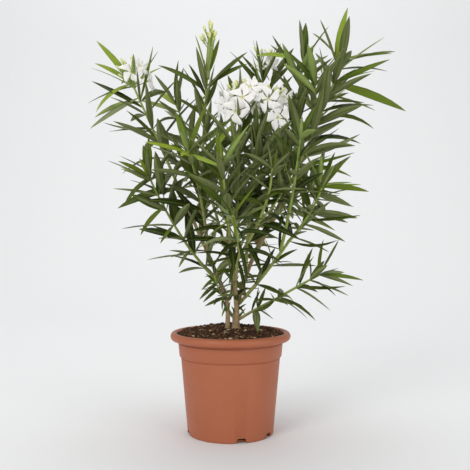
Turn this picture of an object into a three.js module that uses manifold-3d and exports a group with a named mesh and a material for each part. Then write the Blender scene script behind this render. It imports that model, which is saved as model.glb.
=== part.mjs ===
// A potted oleander: a young shrub of several stems with leaves in whorls of three and white
// flowers, in a plain nursery pot. Millimetres, +Z up. The origin is the centre of the pot's
// flat underside. The photograph looks along +Y, with +X to its right.
import * as THREE from "three";
import { mergeVertices } from "three/addons/utils/BufferGeometryUtils.js";
import Module from "manifold-3d";

const wasm = await Module();
wasm.setup();

const clearance = 0.3;

// The pot's outside from the underside up, its rolled rim, and the slots in its bottom edge.
const pot = {
  foot: { radius: 67.8, chamfer: 1.5 },
  wallTop: { radius: 78.5, height: 120 },
  collarFoot: { radius: 80.7, height: 122 },
  collarTop: { radius: 82.8, height: 143 },
  rim: { radius: 89.5, height: 153, halfWidth: 5.5, halfHeight: 8, from: -125, to: 165, steps: 5 },
  wall: 2,
  floor: 3,
  sides: 32,
};
const slot = { first: 14.3, apart: 45, count: 7, foot: 20, top: 11.5, height: 7.7, depth: 9 };

// A low mound of soil, flat where the shrub stands on it.
const soil = { edge: 157, middle: 163, flat: 13, sides: 16 };

// The short trunk: flared at the soil, with three stems on a circle on its flat top.
const crown = { x: 7, y: 0, height: 28, radii: [10.2, 9, 8.6, 8.6], shares: [0, 0.2, 0.5, 1], sides: 9 };
const stemCircle = 4.6;

// Bare stems: each is one tapering limb, bent through a point half way to its tip.
// turn is the place on the circle of stems; on and at give the limb that a branch leaves.
const limbs = [
  { name: "left_stem", turn: 185, through: [-21, 2, 247], tip: [-48, 8, 310], thick: [3.8, 2.7] },
  { name: "middle_stem", turn: 305, through: [7, -16, 233], tip: [5, -42, 280], thick: [3.7, 2.6] },
  { name: "right_stem", turn: 65, through: [25, 12, 247], tip: [53, 22, 315], thick: [3.8, 2.7] },
  {
    name: "outer_right_stem", on: "right_stem", at: 0.14,
    through: [55, -22, 254], tip: [90, -40, 303], thick: [2.9, 2.2],
  },
  {
    name: "back_stem", on: "left_stem", at: 0.16,
    through: [2, 48, 232], tip: [-8, 92, 288], thick: [3, 2.3],
  },
  {
    name: "low_right_branch", on: "root_crown", at: 0.6,
    through: [42, -16, 197], tip: [69, -28, 212], thick: [2.3, 1.8],
  },
];

// Leafy shoots: each is one mass grown from one stem. bare is the leafless share of the stem, gap
// the space between whorls, leaf the full length of a leaf, spread its angle at the foot and the
// tip, top the spread and size of the tuft, and head the flowers and buds on a stalk of length rise.
const masses = [
  {
    name: "left_top_shoot", on: "left_stem", at: 1,
    through: [-45, 6, 433], tip: [-37, 2, 569], thick: [2.3, 1.3],
    bare: 0.08, gap: 34, leaf: 79, spread: [59, 28], top: [14, 0.9],
    droop: 0.24, turn: 50, seed: 135,
    head: { rise: 67, reach: 20, flowers: 0, buds: 8, towards: [0.1, -0.3, 0.4], seed: 988 },
  },
  {
    name: "right_outer_shoot", on: "right_stem", at: 0.8,
    through: [114, 2, 435], tip: [178, -4, 590], thick: [2.3, 1.2],
    bare: 0.42, gap: 31, leaf: 96, spread: [54, 40], top: [46, 1],
    droop: 0.62, turn: 14, seed: 427,
  },
  {
    name: "left_outer_shoot", on: "left_stem", at: 0.93,
    through: [-96, -2, 419], tip: [-158, 12, 555], thick: [2.3, 1.2],
    bare: 0.36, gap: 30, leaf: 94, spread: [72, 56], top: [66, 1],
    droop: 0.92, turn: 44, seed: 168,
    head: { rise: 12, reach: 32, flowers: 4, buds: 5, towards: [0.9, -1, 0], seed: 1667 },
  },
  {
    name: "right_top_shoot", on: "right_stem", at: 1,
    through: [94, 28, 452], tip: [118, 24, 597], thick: [2.3, 1.2],
    bare: 0.2, gap: 31, leaf: 86, spread: [50, 48], top: [18, 0.85],
    droop: 0.21, turn: 40, seed: 135,
  },
  {
    name: "low_right_shoot", on: "low_right_branch", at: 1,
    through: [106, -34, 234], tip: [137, -40, 251], thick: [1.7, 1.1],
    bare: 0.05, gap: 27, leaf: 63, spread: [62, 34], top: [40, 0.9],
    droop: 0.51, turn: 34, seed: 317,
  },
  {
    name: "right_side_shoot", on: "outer_right_stem", at: 1,
    through: [118, -48, 341], tip: [138, -58, 384], thick: [2, 1.2],
    bare: 0.08, gap: 24, leaf: 74, spread: [64, 63], top: [54, 0.85],
    droop: 0.31, turn: 18, seed: 136,
  },
  {
    name: "left_low_shoot", on: "left_stem", at: 0.45,
    through: [-75, -26, 308], tip: [-122, -58, 399], thick: [2.1, 1.2],
    bare: 0.16, gap: 31, leaf: 80, spread: [54, 60], top: [40, 0.8],
    droop: 0.23, turn: 18, seed: 55,
  },
  {
    name: "middle_top_shoot", on: "middle_stem", at: 1,
    through: [12, -52, 388], tip: [16, -40, 501], thick: [2.3, 1.3],
    bare: 0.1, gap: 29, leaf: 87, spread: [56, 24], top: [24, 0.8],
    droop: 0.37, turn: 24, seed: 21, forks: 1, forkFrom: 0.35, forkLength: 80,
    head: { rise: 24, reach: 25, flowers: 5, buds: 4, towards: [-0.4, -1, -0.3], seed: 2197 },
  },
  {
    name: "centre_top_shoot", on: "right_stem", at: 0.55,
    through: [37, -8, 399], tip: [59, -22, 510], thick: [2.2, 1.2],
    bare: 0.25, gap: 32, leaf: 71, spread: [52, 48], top: [52, 0.8],
    droop: 0.27, turn: 14, seed: 202,
    head: { rise: 10, reach: 31, flowers: 4, buds: 2, towards: [-0.1, -1, -0.4], seed: 2741 },
  },
  {
    name: "right_inner_shoot", on: "right_stem", at: 0.9,
    through: [52, 60, 456], tip: [53, 66, 575], thick: [2.2, 1.2],
    bare: 0.2, gap: 36, leaf: 85, spread: [42, 42], top: [24, 0.8],
    droop: 0.38, turn: 6, seed: 23, forks: 1, forkFrom: 0.35, forkLength: 90,
    head: { rise: 33, reach: 22, flowers: 2, buds: 5, towards: [0.7, -1, -0.1], seed: 148 },
  },
  {
    name: "front_right_shoot", on: "middle_stem", at: 0.94,
    through: [47, -90, 344], tip: [60, -108, 407], thick: [2.1, 1.2],
    bare: 0.18, gap: 33, leaf: 72, spread: [76, 64], top: [54, 0.85],
    droop: 0.73, turn: 52, seed: 249, forks: 1, forkFrom: 0.35, forkLength: 75,
  },
  {
    name: "middle_front_shoot", on: "middle_stem", at: 0.86,
    through: [-4, -96, 342], tip: [-11, -128, 408], thick: [2.1, 1.2],
    bare: 0.18, gap: 32, leaf: 84, spread: [68, 36], top: [58, 0.8],
    droop: 0.47, turn: 34, seed: 290, forks: 1, forkFrom: 0.35, forkLength: 70,
  },
  {
    name: "left_front_shoot", on: "left_stem", at: 0.8,
    through: [-44, -60, 365], tip: [-60, -112, 433], thick: [2.2, 1.2],
    bare: 0.22, gap: 33, leaf: 83, spread: [52, 56], top: [54, 0.8],
    droop: 0.32, turn: 38, seed: 136, forks: 1, forkFrom: 0.35, forkLength: 80,
  },
  {
    name: "right_front_shoot", on: "outer_right_stem", at: 0.86,
    through: [91, -85, 370], tip: [99, -124, 448], thick: [2.1, 1.2],
    bare: 0.18, gap: 31, leaf: 71, spread: [60, 38], top: [38, 0.85],
    droop: 0.91, turn: 54, seed: 40, forks: 1, forkFrom: 0.35, forkLength: 75,
  },
  {
    name: "left_back_shoot", on: "back_stem", at: 0.86,
    through: [-46, 125, 411], tip: [-101, 150, 551], thick: [2.2, 1.2],
    bare: 0.22, gap: 37, leaf: 82, spread: [56, 48], top: [34, 0.9],
    droop: 0.52, turn: 2, seed: 47, forks: 1, forkFrom: 0.35, forkLength: 90,
  },
  {
    name: "back_shoot", on: "back_stem", at: 1,
    through: [2, 140, 404], tip: [9, 150, 540], thick: [2.3, 1.2],
    bare: 0.18, gap: 36, leaf: 78, spread: [66, 42], top: [34, 0.85],
    droop: 0.57, turn: 2, seed: 108, forks: 1, forkFrom: 0.35, forkLength: 90,
    head: { rise: 26, reach: 24, flowers: 4, buds: 3, towards: [0, 1, 0.4], seed: 8 },
  },
  {
    name: "right_back_shoot", on: "right_stem", at: 0.68,
    through: [93, 90, 391], tip: [157, 120, 563], thick: [2.2, 1.2],
    bare: 0.25, gap: 44, leaf: 79, spread: [66, 42], top: [42, 0.9],
    droop: 0.19, turn: 8, seed: 35, forks: 1, forkFrom: 0.35, forkLength: 85,
    head: { rise: 37, reach: 26, flowers: 3, buds: 3, towards: [0, -0.8, 0.9], seed: 1167 },
  },
  {
    name: "front_low_shoot", on: "middle_stem", at: 0.62,
    through: [12, -95, 297], tip: [4, -165, 338], thick: [2, 1.1],
    bare: 0.28, gap: 26, leaf: 67, spread: [76, 56], top: [52, 0.8],
    droop: 0.93, turn: 48, seed: 30,
  },
  {
    name: "back_low_shoot", on: "back_stem", at: 0.6,
    through: [7, 125, 305], tip: [28, 190, 371], thick: [2, 1.1],
    bare: 0.22, gap: 30, leaf: 74, spread: [54, 46], top: [46, 0.8],
    droop: 0.54, turn: 10, seed: 83, forks: 1, forkFrom: 0.35, forkLength: 70,
  },
  {
    name: "low_left_sprig", on: "left_stem", at: 0.2,
    through: [-18, -14, 226], tip: [-25, -24, 250], thick: [1.3, 0.9],
    bare: 0.15, gap: 14, leaf: 31, spread: [62, 40], top: [26, 0.8],
    droop: 0.43, turn: 2, seed: 69,
  },
];

const limbSides = 6;
const limbSteps = 6;
const shootSides = 3;
const shootSteps = 6;
const twigSteps = 3;

// How a leaf is held and shaped: shares of its length or width.
const leafRule = {
  perWhorl: 3,
  step: 60, // degrees that each whorl is turned past the last
  bend: 0.45, // share of the length before the leaf bends down
  rings: [[0.28, 0.88], [0.64, 0.84]], // share of the length, and of the width there
  middle: 0.46, // where its keel lies
  sunk: 0.2, // how far the root goes past the middle of its twig
  fold: 0.12, // how far the margins stand above the middle
  keel: [0.5, 0.012],
  width: [1.6, 0.118],
  topShare: 0.985,
};

// Changes of turn and spread that a leaf tries when its first place is taken.
const tries = [[0, 0], [16, -4], [-16, -4], [28, 8], [-28, -12]];

// A flower is a star of ten points over a short tube; a bud is a spindle.
const flower = { radius: 19.5, notch: 9, cup: 2.5, tube: 8, points: 5 };
const bud = { radius: 2.3, length: 15 };

const guardSpace = 0.45; // what each leaf keeps clear of all others
const stemSpace = 0.6;
const seat = clearance + 0.1; // between a limb's foot and what it stands on
const guardRoot = [0.12, 0.4]; // leaves of one mass may touch below this share of their length

const up = new THREE.Vector3(0, 0, 1);

const vec = (x, y, z) => new THREE.Vector3(x, y, z);
const plus = (p, q, scale = 1) => p.clone().addScaledVector(q, scale);
const flatTo = (v, axis) => plus(v, axis, -v.dot(axis));
const radians = THREE.MathUtils.degToRad;

// A seeded draw, so that the shrub grows the same each time.
class Dice {
  constructor(seed) {
    this.state = seed >>> 0;
    this.roll();
  }

  roll() {
    this.state = (Math.imul(this.state, 1664525) + 1013904223) >>> 0;
    return this.state / 4294967296;
  }

  swing(reach) {
    return (this.roll() * 2 - 1) * reach;
  }
}

// A bent path from foot to tip, drawn towards its elbow.
class Path {
  constructor(foot, elbow, tip) {
    Object.assign(this, { foot, elbow, tip });
  }

  at(t) {
    const point = this.foot.clone().multiplyScalar((1 - t) ** 2);
    point.addScaledVector(this.elbow, 2 * t * (1 - t));
    return point.addScaledVector(this.tip, t * t);
  }

  heading(t) {
    const start = plus(this.elbow, this.foot, -1).multiplyScalar(1 - t);
    return start.addScaledVector(plus(this.tip, this.elbow, -1), t).normalize();
  }
}

// A tapering limb, shoot or twig along a path.
class Limb extends Path {
  constructor(foot, elbow, tip, thick, sides, steps) {
    super(foot, elbow, tip);
    Object.assign(this, { thick, sides, steps });
    this.length = 0;
    for (let i = 1; i <= 12; i++) this.length += this.at(i / 12).distanceTo(this.at((i - 1) / 12));
  }

  radius(t) {
    return this.thick[0] + (this.thick[1] - this.thick[0]) * t;
  }
}

// Two directions square to a heading, and one turned round it.
function squareTo(heading) {
  const reference = Math.abs(heading.x) > 0.8 ? vec(0, 1, 0) : vec(1, 0, 0);
  const first = flatTo(reference, heading).normalize();
  return [first, heading.clone().cross(first)];
}

function outward(heading, turn) {
  const [first, second] = squareTo(heading);
  return first.multiplyScalar(Math.cos(radians(turn))).addScaledVector(second, Math.sin(radians(turn)));
}

function leaning(heading, side, angle) {
  const along = heading.clone().multiplyScalar(Math.cos(radians(angle)));
  return along.addScaledVector(side, Math.sin(radians(angle)));
}

// Rings of equal count joined into a closed skin. Each end is closed by a cap, or by a point.
function ringSkin(rings, root, tip) {
  const count = rings[0].length;
  const points = rings.flat();
  const faces = [];
  for (let i = 0; i + 1 < rings.length; i++) {
    for (let j = 0; j < count; j++) {
      const a = i * count + j;
      const b = i * count + ((j + 1) % count);
      faces.push([a, b, b + count], [a, b + count, a + count]);
    }
  }
  const last = (rings.length - 1) * count;
  if (root) {
    points.push(root);
    for (let j = 0; j < count; j++) faces.push([points.length - 1, (j + 1) % count, j]);
  } else {
    for (let j = 1; j < count - 1; j++) faces.push([0, j + 1, j]);
  }
  if (tip) {
    points.push(tip);
    for (let j = 0; j < count; j++) faces.push([last + j, last + ((j + 1) % count), points.length - 1]);
  } else {
    for (let j = 1; j < count - 1; j++) faces.push([last, last + j, last + j + 1]);
  }
  return { points, faces };
}

function roundRing(centre, heading, radius, sides) {
  const [first, second] = squareTo(heading);
  return Array.from({ length: sides }, (_, j) => {
    const angle = (2 * Math.PI * j) / sides;
    return plus(plus(centre, first, radius * Math.cos(angle)), second, radius * Math.sin(angle));
  });
}

function limbSkin(limb, extra = 0) {
  const rings = [];
  for (let i = 0; i <= limb.steps; i++) {
    const t = i / limb.steps;
    rings.push(roundRing(limb.at(t), limb.heading(t), limb.radius(t) + extra, limb.sides));
  }
  return ringSkin(rings);
}

const leafNormal = (leaf, t) => leaf.side.clone().cross(leaf.path.heading(t)).normalize();

// One ring of a leaf: two margins standing above the middle, and a keel below it.
function leafRing(leaf, [t, share], extra) {
  const middle = leaf.path.at(t);
  const normal = leafNormal(leaf, t);
  const half = leaf.width / 2;
  const rim = plus(middle, normal, leafRule.fold * half * share + extra);
  const keel = plus(middle, normal, -(leafRule.keel[0] + leafRule.keel[1] * leaf.length * share + extra));
  const reach = half * share + extra;
  return [plus(rim, leaf.side, reach), keel, plus(rim, leaf.side, -reach)];
}

// A leaf is a long blade with six corners, thickest at one corner under its middle.
function leafSkin(leaf) {
  const [low, high] = leafRule.rings.map((ring) => leafRing(leaf, ring, 0));
  const root = plus(leaf.path.foot, leaf.path.heading(0), -leafRule.sunk);
  const keel = plus(low[1], high[1]).multiplyScalar(0.5);
  const points = [root, low[0], high[0], leaf.path.tip, high[2], low[2], keel];
  const faces = [[0, 1, 5], [5, 1, 2], [5, 2, 4], [4, 2, 3]];
  for (let j = 0; j < 6; j++) faces.push([(j + 1) % 6, j, 6]);
  return { points, faces };
}

// The room that a leaf needs: a little more than its blade, and that of its root.
function leafGuards(leaf) {
  const [foot, low, high] = [guardRoot, ...leafRule.rings].map((ring) => leafRing(leaf, ring, guardSpace));
  const tip = plus(leaf.path.tip, leaf.path.heading(1), guardSpace);
  const keel = plus(low[1], high[1]).multiplyScalar(0.5);
  const under = plus(leaf.path.foot, leafNormal(leaf, 0), -guardSpace);
  const heel = under.lerp(keel, guardRoot[0] / leafRule.middle);
  const points = [foot[0], low[0], high[0], tip, high[2], low[2], foot[2], heel, keel];
  const faces = [[6, 0, 1], [6, 1, 5], [5, 1, 2], [5, 2, 4], [4, 2, 3], [0, 6, 7], [8, 0, 7], [6, 8, 7]];
  for (let j = 0; j < 6; j++) faces.push([j + 1, j, 8]);
  return [guardOf({ points, faces }), guardOf(ringSkin([[foot[0], heel, foot[2]]], leaf.path.foot))];
}

function flowerSkin(centre, axis, spin, extra = 0) {
  const ring = [];
  for (let j = 0; j < 2 * flower.points; j++) {
    const tip = j % 2 === 0;
    const out = outward(axis, spin + (180 / flower.points) * j);
    const rim = plus(centre, out, (tip ? flower.radius : flower.notch) + extra);
    ring.push(plus(rim, axis, tip ? flower.cup : 0));
  }
  const points = [plus(centre, axis, -flower.tube - extra), ...ring, plus(centre, axis, 1 + extra)];
  const faces = [];
  for (let j = 0; j < ring.length; j++) {
    const next = ((j + 1) % ring.length) + 1;
    faces.push([0, next, j + 1], [points.length - 1, j + 1, next]);
  }
  return { points, faces };
}

function budSkin(foot, axis, reach, extra = 0) {
  const low = roundRing(foot, axis, 0.7 + extra, 3);
  const neck = roundRing(plus(foot, axis, reach), axis, 0.8 + extra, 3);
  const wide = roundRing(plus(foot, axis, reach + bud.length * 0.6), axis, bud.radius + extra, 3);
  return ringSkin([low, neck, wide], null, plus(foot, axis, reach + bud.length + extra));
}

// A skin's faces and edges as plain numbers, with its box, for the crossing test.
function guardOf({ points, faces }) {
  const edges = new Map();
  for (const face of faces) {
    for (let k = 0; k < 3; k++) {
      const [a, b] = [face[k], face[(k + 1) % 3]];
      edges.set(Math.min(a, b) * points.length + Math.max(a, b), [a, b]);
    }
  }
  const run = (a, b) => plus(points[b], points[a], -1);
  return {
    box: new THREE.Box3().setFromPoints(points),
    faces: faces.map(([a, b, c]) => [points[a], run(a, b), run(a, c)]),
    edges: [...edges.values()].map(([a, b]) => [points[a], run(a, b)]),
  };
}

const scratch = { h: vec(0, 0, 0), s: vec(0, 0, 0), q: vec(0, 0, 0) };

function edgeMeetsFace([start, run], [corner, first, second]) {
  const { h, s, q } = scratch;
  h.crossVectors(run, second);
  const size = first.dot(h);
  if (Math.abs(size) <= 1e-9) return false;
  s.subVectors(start, corner);
  const u = s.dot(h) / size;
  if (u < 0 || u > 1) return false;
  q.crossVectors(s, first);
  const v = run.dot(q) / size;
  if (v < 0 || u + v > 1) return false;
  const t = second.dot(q) / size;
  return t >= 0 && t <= 1;
}

const edgesMeet = (a, b) => a.edges.some((edge) => b.faces.some((face) => edgeMeetsFace(edge, face)));
const skinsMeet = (a, b) => a.box.intersectsBox(b.box) && (edgesMeet(a, b) || edgesMeet(b, a));

// What stems, flowers and leaves have already taken, kept by cells for a quick look-up.
class Space {
  constructor(cell) {
    this.cell = cell;
    this.cells = new Map();
  }

  cellsOf({ min, max }) {
    const names = [];
    const index = (value) => Math.floor(value / this.cell);
    for (let i = index(min.x); i <= index(max.x); i++) {
      for (let j = index(min.y); j <= index(max.y); j++) {
        for (let k = index(min.z); k <= index(max.z); k++) names.push(`${i} ${j} ${k}`);
      }
    }
    return names;
  }

  take(guard, owner) {
    for (const name of this.cellsOf(guard.box)) {
      if (!this.cells.has(name)) this.cells.set(name, []);
      this.cells.get(name).push({ guard, owner });
    }
  }

  isFree(guard, ...owners) {
    const isClear = (other) => owners.includes(other.owner) || !skinsMeet(guard, other.guard);
    return this.cellsOf(guard.box).every((name) => (this.cells.get(name) ?? []).every(isClear));
  }
}

const space = new Space(40);
const grown = new Map([["root_crown", crownLimb()]]);

function crownLimb() {
  const foot = vec(crown.x, crown.y, soil.middle + clearance);
  const tip = plus(foot, up, crown.height);
  const thick = [crown.radii.at(-1), crown.radii.at(-1)];
  return new Limb(foot, plus(foot, up, crown.height / 2), tip, thick, crown.sides, 1);
}

const elbowOf = (foot, { through, tip }) =>
  vec(...through).multiplyScalar(2).addScaledVector(foot, -0.5).addScaledVector(vec(...tip), -0.5);

// How far the flat foot of a limb reaches back from its middle, towards what it stands on.
function reachBack(row, point, away, sides) {
  const start = plus(elbowOf(point, row), point, -1).normalize();
  return Math.max(...roundRing(point, start, row.thick[0], sides).map((p) => plus(point, p, -1).dot(away)));
}

// The foot of a limb: on the circle of stems, past the end of its parent, or beside it.
function footOf(row, sides) {
  if (!row.on) {
    const side = vec(Math.cos(radians(row.turn)), Math.sin(radians(row.turn)), 0);
    const point = plus(grown.get("root_crown").tip, side, stemCircle);
    return plus(point, up, seat + reachBack(row, point, up, sides));
  }
  const parent = grown.get(row.on);
  const point = parent.at(row.at);
  const heading = parent.heading(row.at);
  if (row.at >= 1) return plus(point, heading, seat + reachBack(row, point, heading, sides));
  const side = flatTo(plus(vec(...row.through), point, -1), heading).normalize();
  const surface = roundRing(point, heading, parent.radius(row.at), parent.sides);
  const reach = Math.max(...surface.map((p) => plus(p, point, -1).dot(side)));
  return plus(point, side, reach + seat + reachBack(row, point, side, sides));
}

function growLimb(row, sides, steps) {
  const foot = footOf(row, sides);
  const limb = new Limb(foot, elbowOf(foot, row), vec(...row.tip), row.thick, sides, steps);
  grown.set(row.name, limb);
  space.take(guardOf(limbSkin(limb, stemSpace)), row.name);
}

// Side twigs leave a mass's stem by the golden angle and turn up towards the light.
function growTwigs(mass, stem, dice) {
  const twigs = [];
  for (let k = 0; k < (mass.forks ?? 0); k++) {
    const t = mass.forkFrom + 0.42 * (k / mass.forks) + dice.swing(0.05);
    const turn = mass.turn + 137.5 * k + dice.swing(25);
    const lean = 34 + dice.swing(8);
    const length = mass.forkLength * (1 + dice.swing(0.15));
    const start = leaning(stem.heading(t), outward(stem.heading(t), turn), lean);
    const foot = stem.at(t);
    const elbow = plus(foot, start, length / 2);
    const tip = plus(elbow, plus(start, up, 0.7).normalize(), length / 2);
    const thick = [stem.radius(t) * 0.8, 1];
    const twig = new Limb(foot, elbow, tip, thick, shootSides, twigSteps);
    const clearOfStem = new Limb(twig.at(0.1), elbow, tip, thick, shootSides, twigSteps);
    if (!space.isFree(guardOf(limbSkin(clearOfStem, stemSpace)))) continue;
    space.take(guardOf(limbSkin(twig, stemSpace)), mass.name);
    twigs.push(twig);
  }
  return twigs;
}

// A stalk on the shoot's tip with flowers round its side and buds in its middle.
function growHead(mass, stem) {
  const { rise, reach, flowers, buds, towards, seed } = mass.head;
  const dice = new Dice(seed);
  const heading = stem.heading(1);
  const foot = stem.at(0.97);
  const top = plus(foot, heading, rise);
  const stalk = new Limb(foot, plus(foot, heading, rise / 2), top, [stem.thick[1], 0.8], shootSides, 2);
  const parts = [limbSkin(stalk)];
  space.take(guardOf(limbSkin(stalk, stemSpace)), mass.name);
  const aim = vec(...towards);
  for (let i = 0; i < flowers + buds; i++) {
    const open = i < flowers;
    const turn = 137.5 * i + dice.swing(20);
    const share = open ? (i + 0.5) / flowers : (i - flowers + 0.5) / buds;
    const lean = (open ? 34 + 38 * share : 6 + 34 * share) + dice.swing(8);
    const length = reach * (open ? 0.85 + 0.3 * dice.roll() : 0.45 + 0.5 * dice.roll());
    const spin = 72 * dice.roll();
    const out = leaning(heading, outward(heading, turn), lean);
    const axis = plus(out, aim, open ? 0.35 : 0.1).normalize();
    const start = stalk.at(open ? 0.92 - 0.7 * share : 0.98 - 0.25 * share);
    const end = plus(start, axis, length);
    const face = plus(axis, aim, 0.8).normalize();
    const neck = plus(end, face, -flower.tube / 2);
    const pedicel = new Limb(start, plus(start, axis, length / 2), neck, [0.8, 0.7], shootSides, 1);
    const skinsOf = (extra) =>
      open
        ? [flowerSkin(end, face, spin, extra), limbSkin(pedicel, extra)]
        : [budSkin(start, axis, length, extra)];
    const guards = skinsOf(stemSpace).map(guardOf);
    if (!guards.every((guard) => space.isFree(guard, mass.name))) continue;
    for (const guard of guards) space.take(guard, mass.name);
    parts.push(...skinsOf(0));
  }
  return parts;
}

function growLeaf(mass, limb, share, place, dice) {
  const rolls = Array.from({ length: 5 }, () => dice.swing(1));
  const [turnRoll, spreadRoll, lengthRoll, droopRoll, twistRoll] = rolls;
  const heading = limb.heading(share);
  const root = plus(limb.at(share), heading, -0.2);
  const length = mass.leaf * place.size * (1 + 0.14 * lengthRoll);
  const width = leafRule.width[0] + leafRule.width[1] * length;
  const droop = Math.max(-0.2, place.droop * (1 + 0.7 * droopRoll));
  for (const [turnChange, spreadChange] of tries) {
    const side = outward(heading, place.turn + 11 * turnRoll + turnChange);
    const start = leaning(heading, side, Math.max(6, place.spread + 11 * spreadRoll + spreadChange));
    const towardsTip = flatTo(heading, start).normalize();
    const face = flatTo(plus(towardsTip, flatTo(up, start), 0.8), start).normalize();
    face.applyAxisAngle(start, radians(38 * twistRoll));
    const elbow = plus(root, start, length * leafRule.bend);
    const tip = plus(elbow, plus(start, up, -droop).normalize(), length * (1 - leafRule.bend));
    const leaf = { path: new Path(root, elbow, tip), side: start.clone().cross(face), width, length };
    const owner = `${mass.name} leaves`;
    const [blade, rootPart] = leafGuards(leaf);
    if (!space.isFree(blade, mass.name) || !space.isFree(rootPart, mass.name, owner)) continue;
    space.take(blade, owner);
    space.take(rootPart, mass.name);
    return [leaf];
  }
  return [];
}

// Whorls up one stem or twig, closer and steeper towards its tip, with a tuft of young leaves.
function growLeaves(mass, limb, bare, dice, isTwig) {
  const leaves = [];
  let whorl = 0;
  const addRing = (count, share, turn, place) => {
    for (let j = 0; j < count; j++) {
      const held = { ...place, turn: mass.turn + turn + leafRule.step * whorl + (360 / count) * j };
      leaves.push(...growLeaf(mass, limb, share, held, dice));
    }
  };
  for (let s = bare * limb.length; s < limb.length - 3; whorl++) {
    const share = s / limb.length;
    addRing(leafRule.perWhorl, share, 0, {
      size: 0.84 + 0.2 * Math.sin(Math.PI * Math.min(1, share * 1.15)),
      spread: mass.spread[0] + (mass.spread[1] - mass.spread[0]) * share,
      droop: mass.droop * (1.25 - share),
    });
    s += mass.gap * (1.1 - 0.45 * share);
  }
  const [spread, size] = mass.top;
  addRing(leafRule.perWhorl, leafRule.topShare, 0, { size, spread, droop: mass.droop * 0.3 });
  if (!mass.head || isTwig) addRing(2, leafRule.topShare, 30, { size: 0.48, spread: 10, droop: 0 });
  return leaves;
}

// A closed geometry as a solid that can be cut and joined, and back.
function solidOf(geometry) {
  const bare = geometry.clone();
  bare.deleteAttribute("normal");
  bare.deleteAttribute("uv");
  const merged = mergeVertices(bare);
  const mesh = new wasm.Mesh({
    numProp: 3,
    vertProperties: new Float32Array(merged.attributes.position.array),
    triVerts: new Uint32Array(merged.index.array),
  });
  return new wasm.Manifold(mesh);
}

function geometryOfSkin({ points, faces }) {
  const geometry = new THREE.BufferGeometry().setFromPoints(points);
  geometry.setIndex(faces.flat());
  return geometry;
}

const solidOfSkin = (skin) => solidOf(geometryOfSkin(skin));

function geometryOf(solid) {
  const { vertProperties, triVerts } = solid.getMesh();
  const geometry = new THREE.BufferGeometry();
  geometry.setAttribute("position", new THREE.BufferAttribute(vertProperties, 3));
  geometry.setIndex(new THREE.BufferAttribute(triVerts, 1));
  geometry.computeVertexNormals();
  return geometry;
}

// Joins the skins of one mass, and keeps the largest piece with any sealed hollow filled.
function fuse(skins) {
  const joined = skins.map(solidOfSkin).reduce((whole, piece) => whole.add(piece));
  const pieces = joined.decompose();
  return pieces.reduce((largest, piece) => (piece.volume() > largest.volume() ? piece : largest));
}

const materials = {
  terracotta: new THREE.MeshStandardMaterial({ color: 0xab684d, roughness: 0.55, metalness: 0 }),
  peat: new THREE.MeshStandardMaterial({ color: 0x3a2a22, roughness: 1, metalness: 0 }),
  bark: new THREE.MeshStandardMaterial({ color: 0x7d6a4c, roughness: 0.85, metalness: 0 }),
  foliage: new THREE.MeshStandardMaterial({ color: 0x3f5a2c, roughness: 0.5, metalness: 0 }),
};

const plant = new THREE.Group();

function addMesh(name, geometry, material) {
  const mesh = new THREE.Mesh(geometry, material);
  mesh.name = name;
  plant.add(mesh);
}

// Points of a turned profile, as radius and height.
const corner = ({ radius, height }) => new THREE.Vector2(radius, height);

function turnedGeometry(profile, sides) {
  return new THREE.LatheGeometry(profile, sides).rotateX(Math.PI / 2);
}

function potInside(inset) {
  const wall = pot.wall + inset;
  const { foot, wallTop, collarFoot, collarTop } = pot;
  const slope = (wallTop.radius - foot.radius) / wallTop.height;
  const floor = pot.floor + inset;
  return [
    new THREE.Vector2(foot.radius + slope * floor - wall, floor),
    new THREE.Vector2(wallTop.radius - wall, wallTop.height),
    new THREE.Vector2(collarFoot.radius - wall, collarFoot.height),
    new THREE.Vector2(collarTop.radius - wall, collarTop.height),
  ];
}

// A point of the rolled rim, from its outer underside (share 0) over its crest to its lip (share 1).
function rimPoint(share) {
  const { radius, height, halfWidth, halfHeight, from, to } = pot.rim;
  const angle = radians(from + (to - from) * share);
  return new THREE.Vector2(radius + halfWidth * Math.cos(angle), height + halfHeight * Math.sin(angle));
}

function makePot() {
  const { foot, rim } = pot;
  const bead = Array.from({ length: rim.steps }, (_, i) => rimPoint(i / (rim.steps - 1)));
  const outside = [
    new THREE.Vector2(foot.radius - foot.chamfer, 0),
    new THREE.Vector2(foot.radius, foot.chamfer),
    ...[pot.wallTop, pot.collarFoot, pot.collarTop].map(corner),
  ];
  const profile = [new THREE.Vector2(0, 0), ...outside, ...bead, ...potInside(0).reverse()];
  profile.push(new THREE.Vector2(0, pot.floor));
  return makeSlots().reduce((body, cut) => body.subtract(cut), solidOf(turnedGeometry(profile, pot.sides)));
}

// A slot is a trapezium, narrow at its top, cut through the corner of wall and underside.
function makeSlots() {
  const past = 2;
  const shape = new THREE.Shape();
  const slope = (slot.foot - slot.top) / 2 / slot.height;
  shape.moveTo(-slot.foot / 2 - slope * past, -past);
  shape.lineTo(slot.foot / 2 + slope * past, -past);
  shape.lineTo(slot.top / 2, slot.height);
  shape.lineTo(-slot.top / 2, slot.height);
  const block = new THREE.ExtrudeGeometry(shape, { depth: slot.depth + past, bevelEnabled: false });
  block.rotateX(Math.PI / 2).translate(0, -(pot.foot.radius - slot.depth), 0);
  return Array.from({ length: slot.count }, (_, k) => {
    const turned = block.clone().rotateZ(radians(slot.first + slot.apart * k));
    return solidOf(turned);
  });
}

function makeSoil() {
  const lip = rimPoint(1);
  const edge = lip.x - seat;
  const profile = [
    new THREE.Vector2(0, pot.floor + clearance),
    ...potInside(clearance),
    new THREE.Vector2(edge, lip.y),
    new THREE.Vector2(edge, soil.edge),
    new THREE.Vector2((edge + soil.flat) / 2, (soil.edge + soil.middle) / 2 + 1),
    new THREE.Vector2(soil.flat, soil.middle),
    new THREE.Vector2(0, soil.middle),
  ];
  return turnedGeometry(profile, soil.sides);
}

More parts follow.
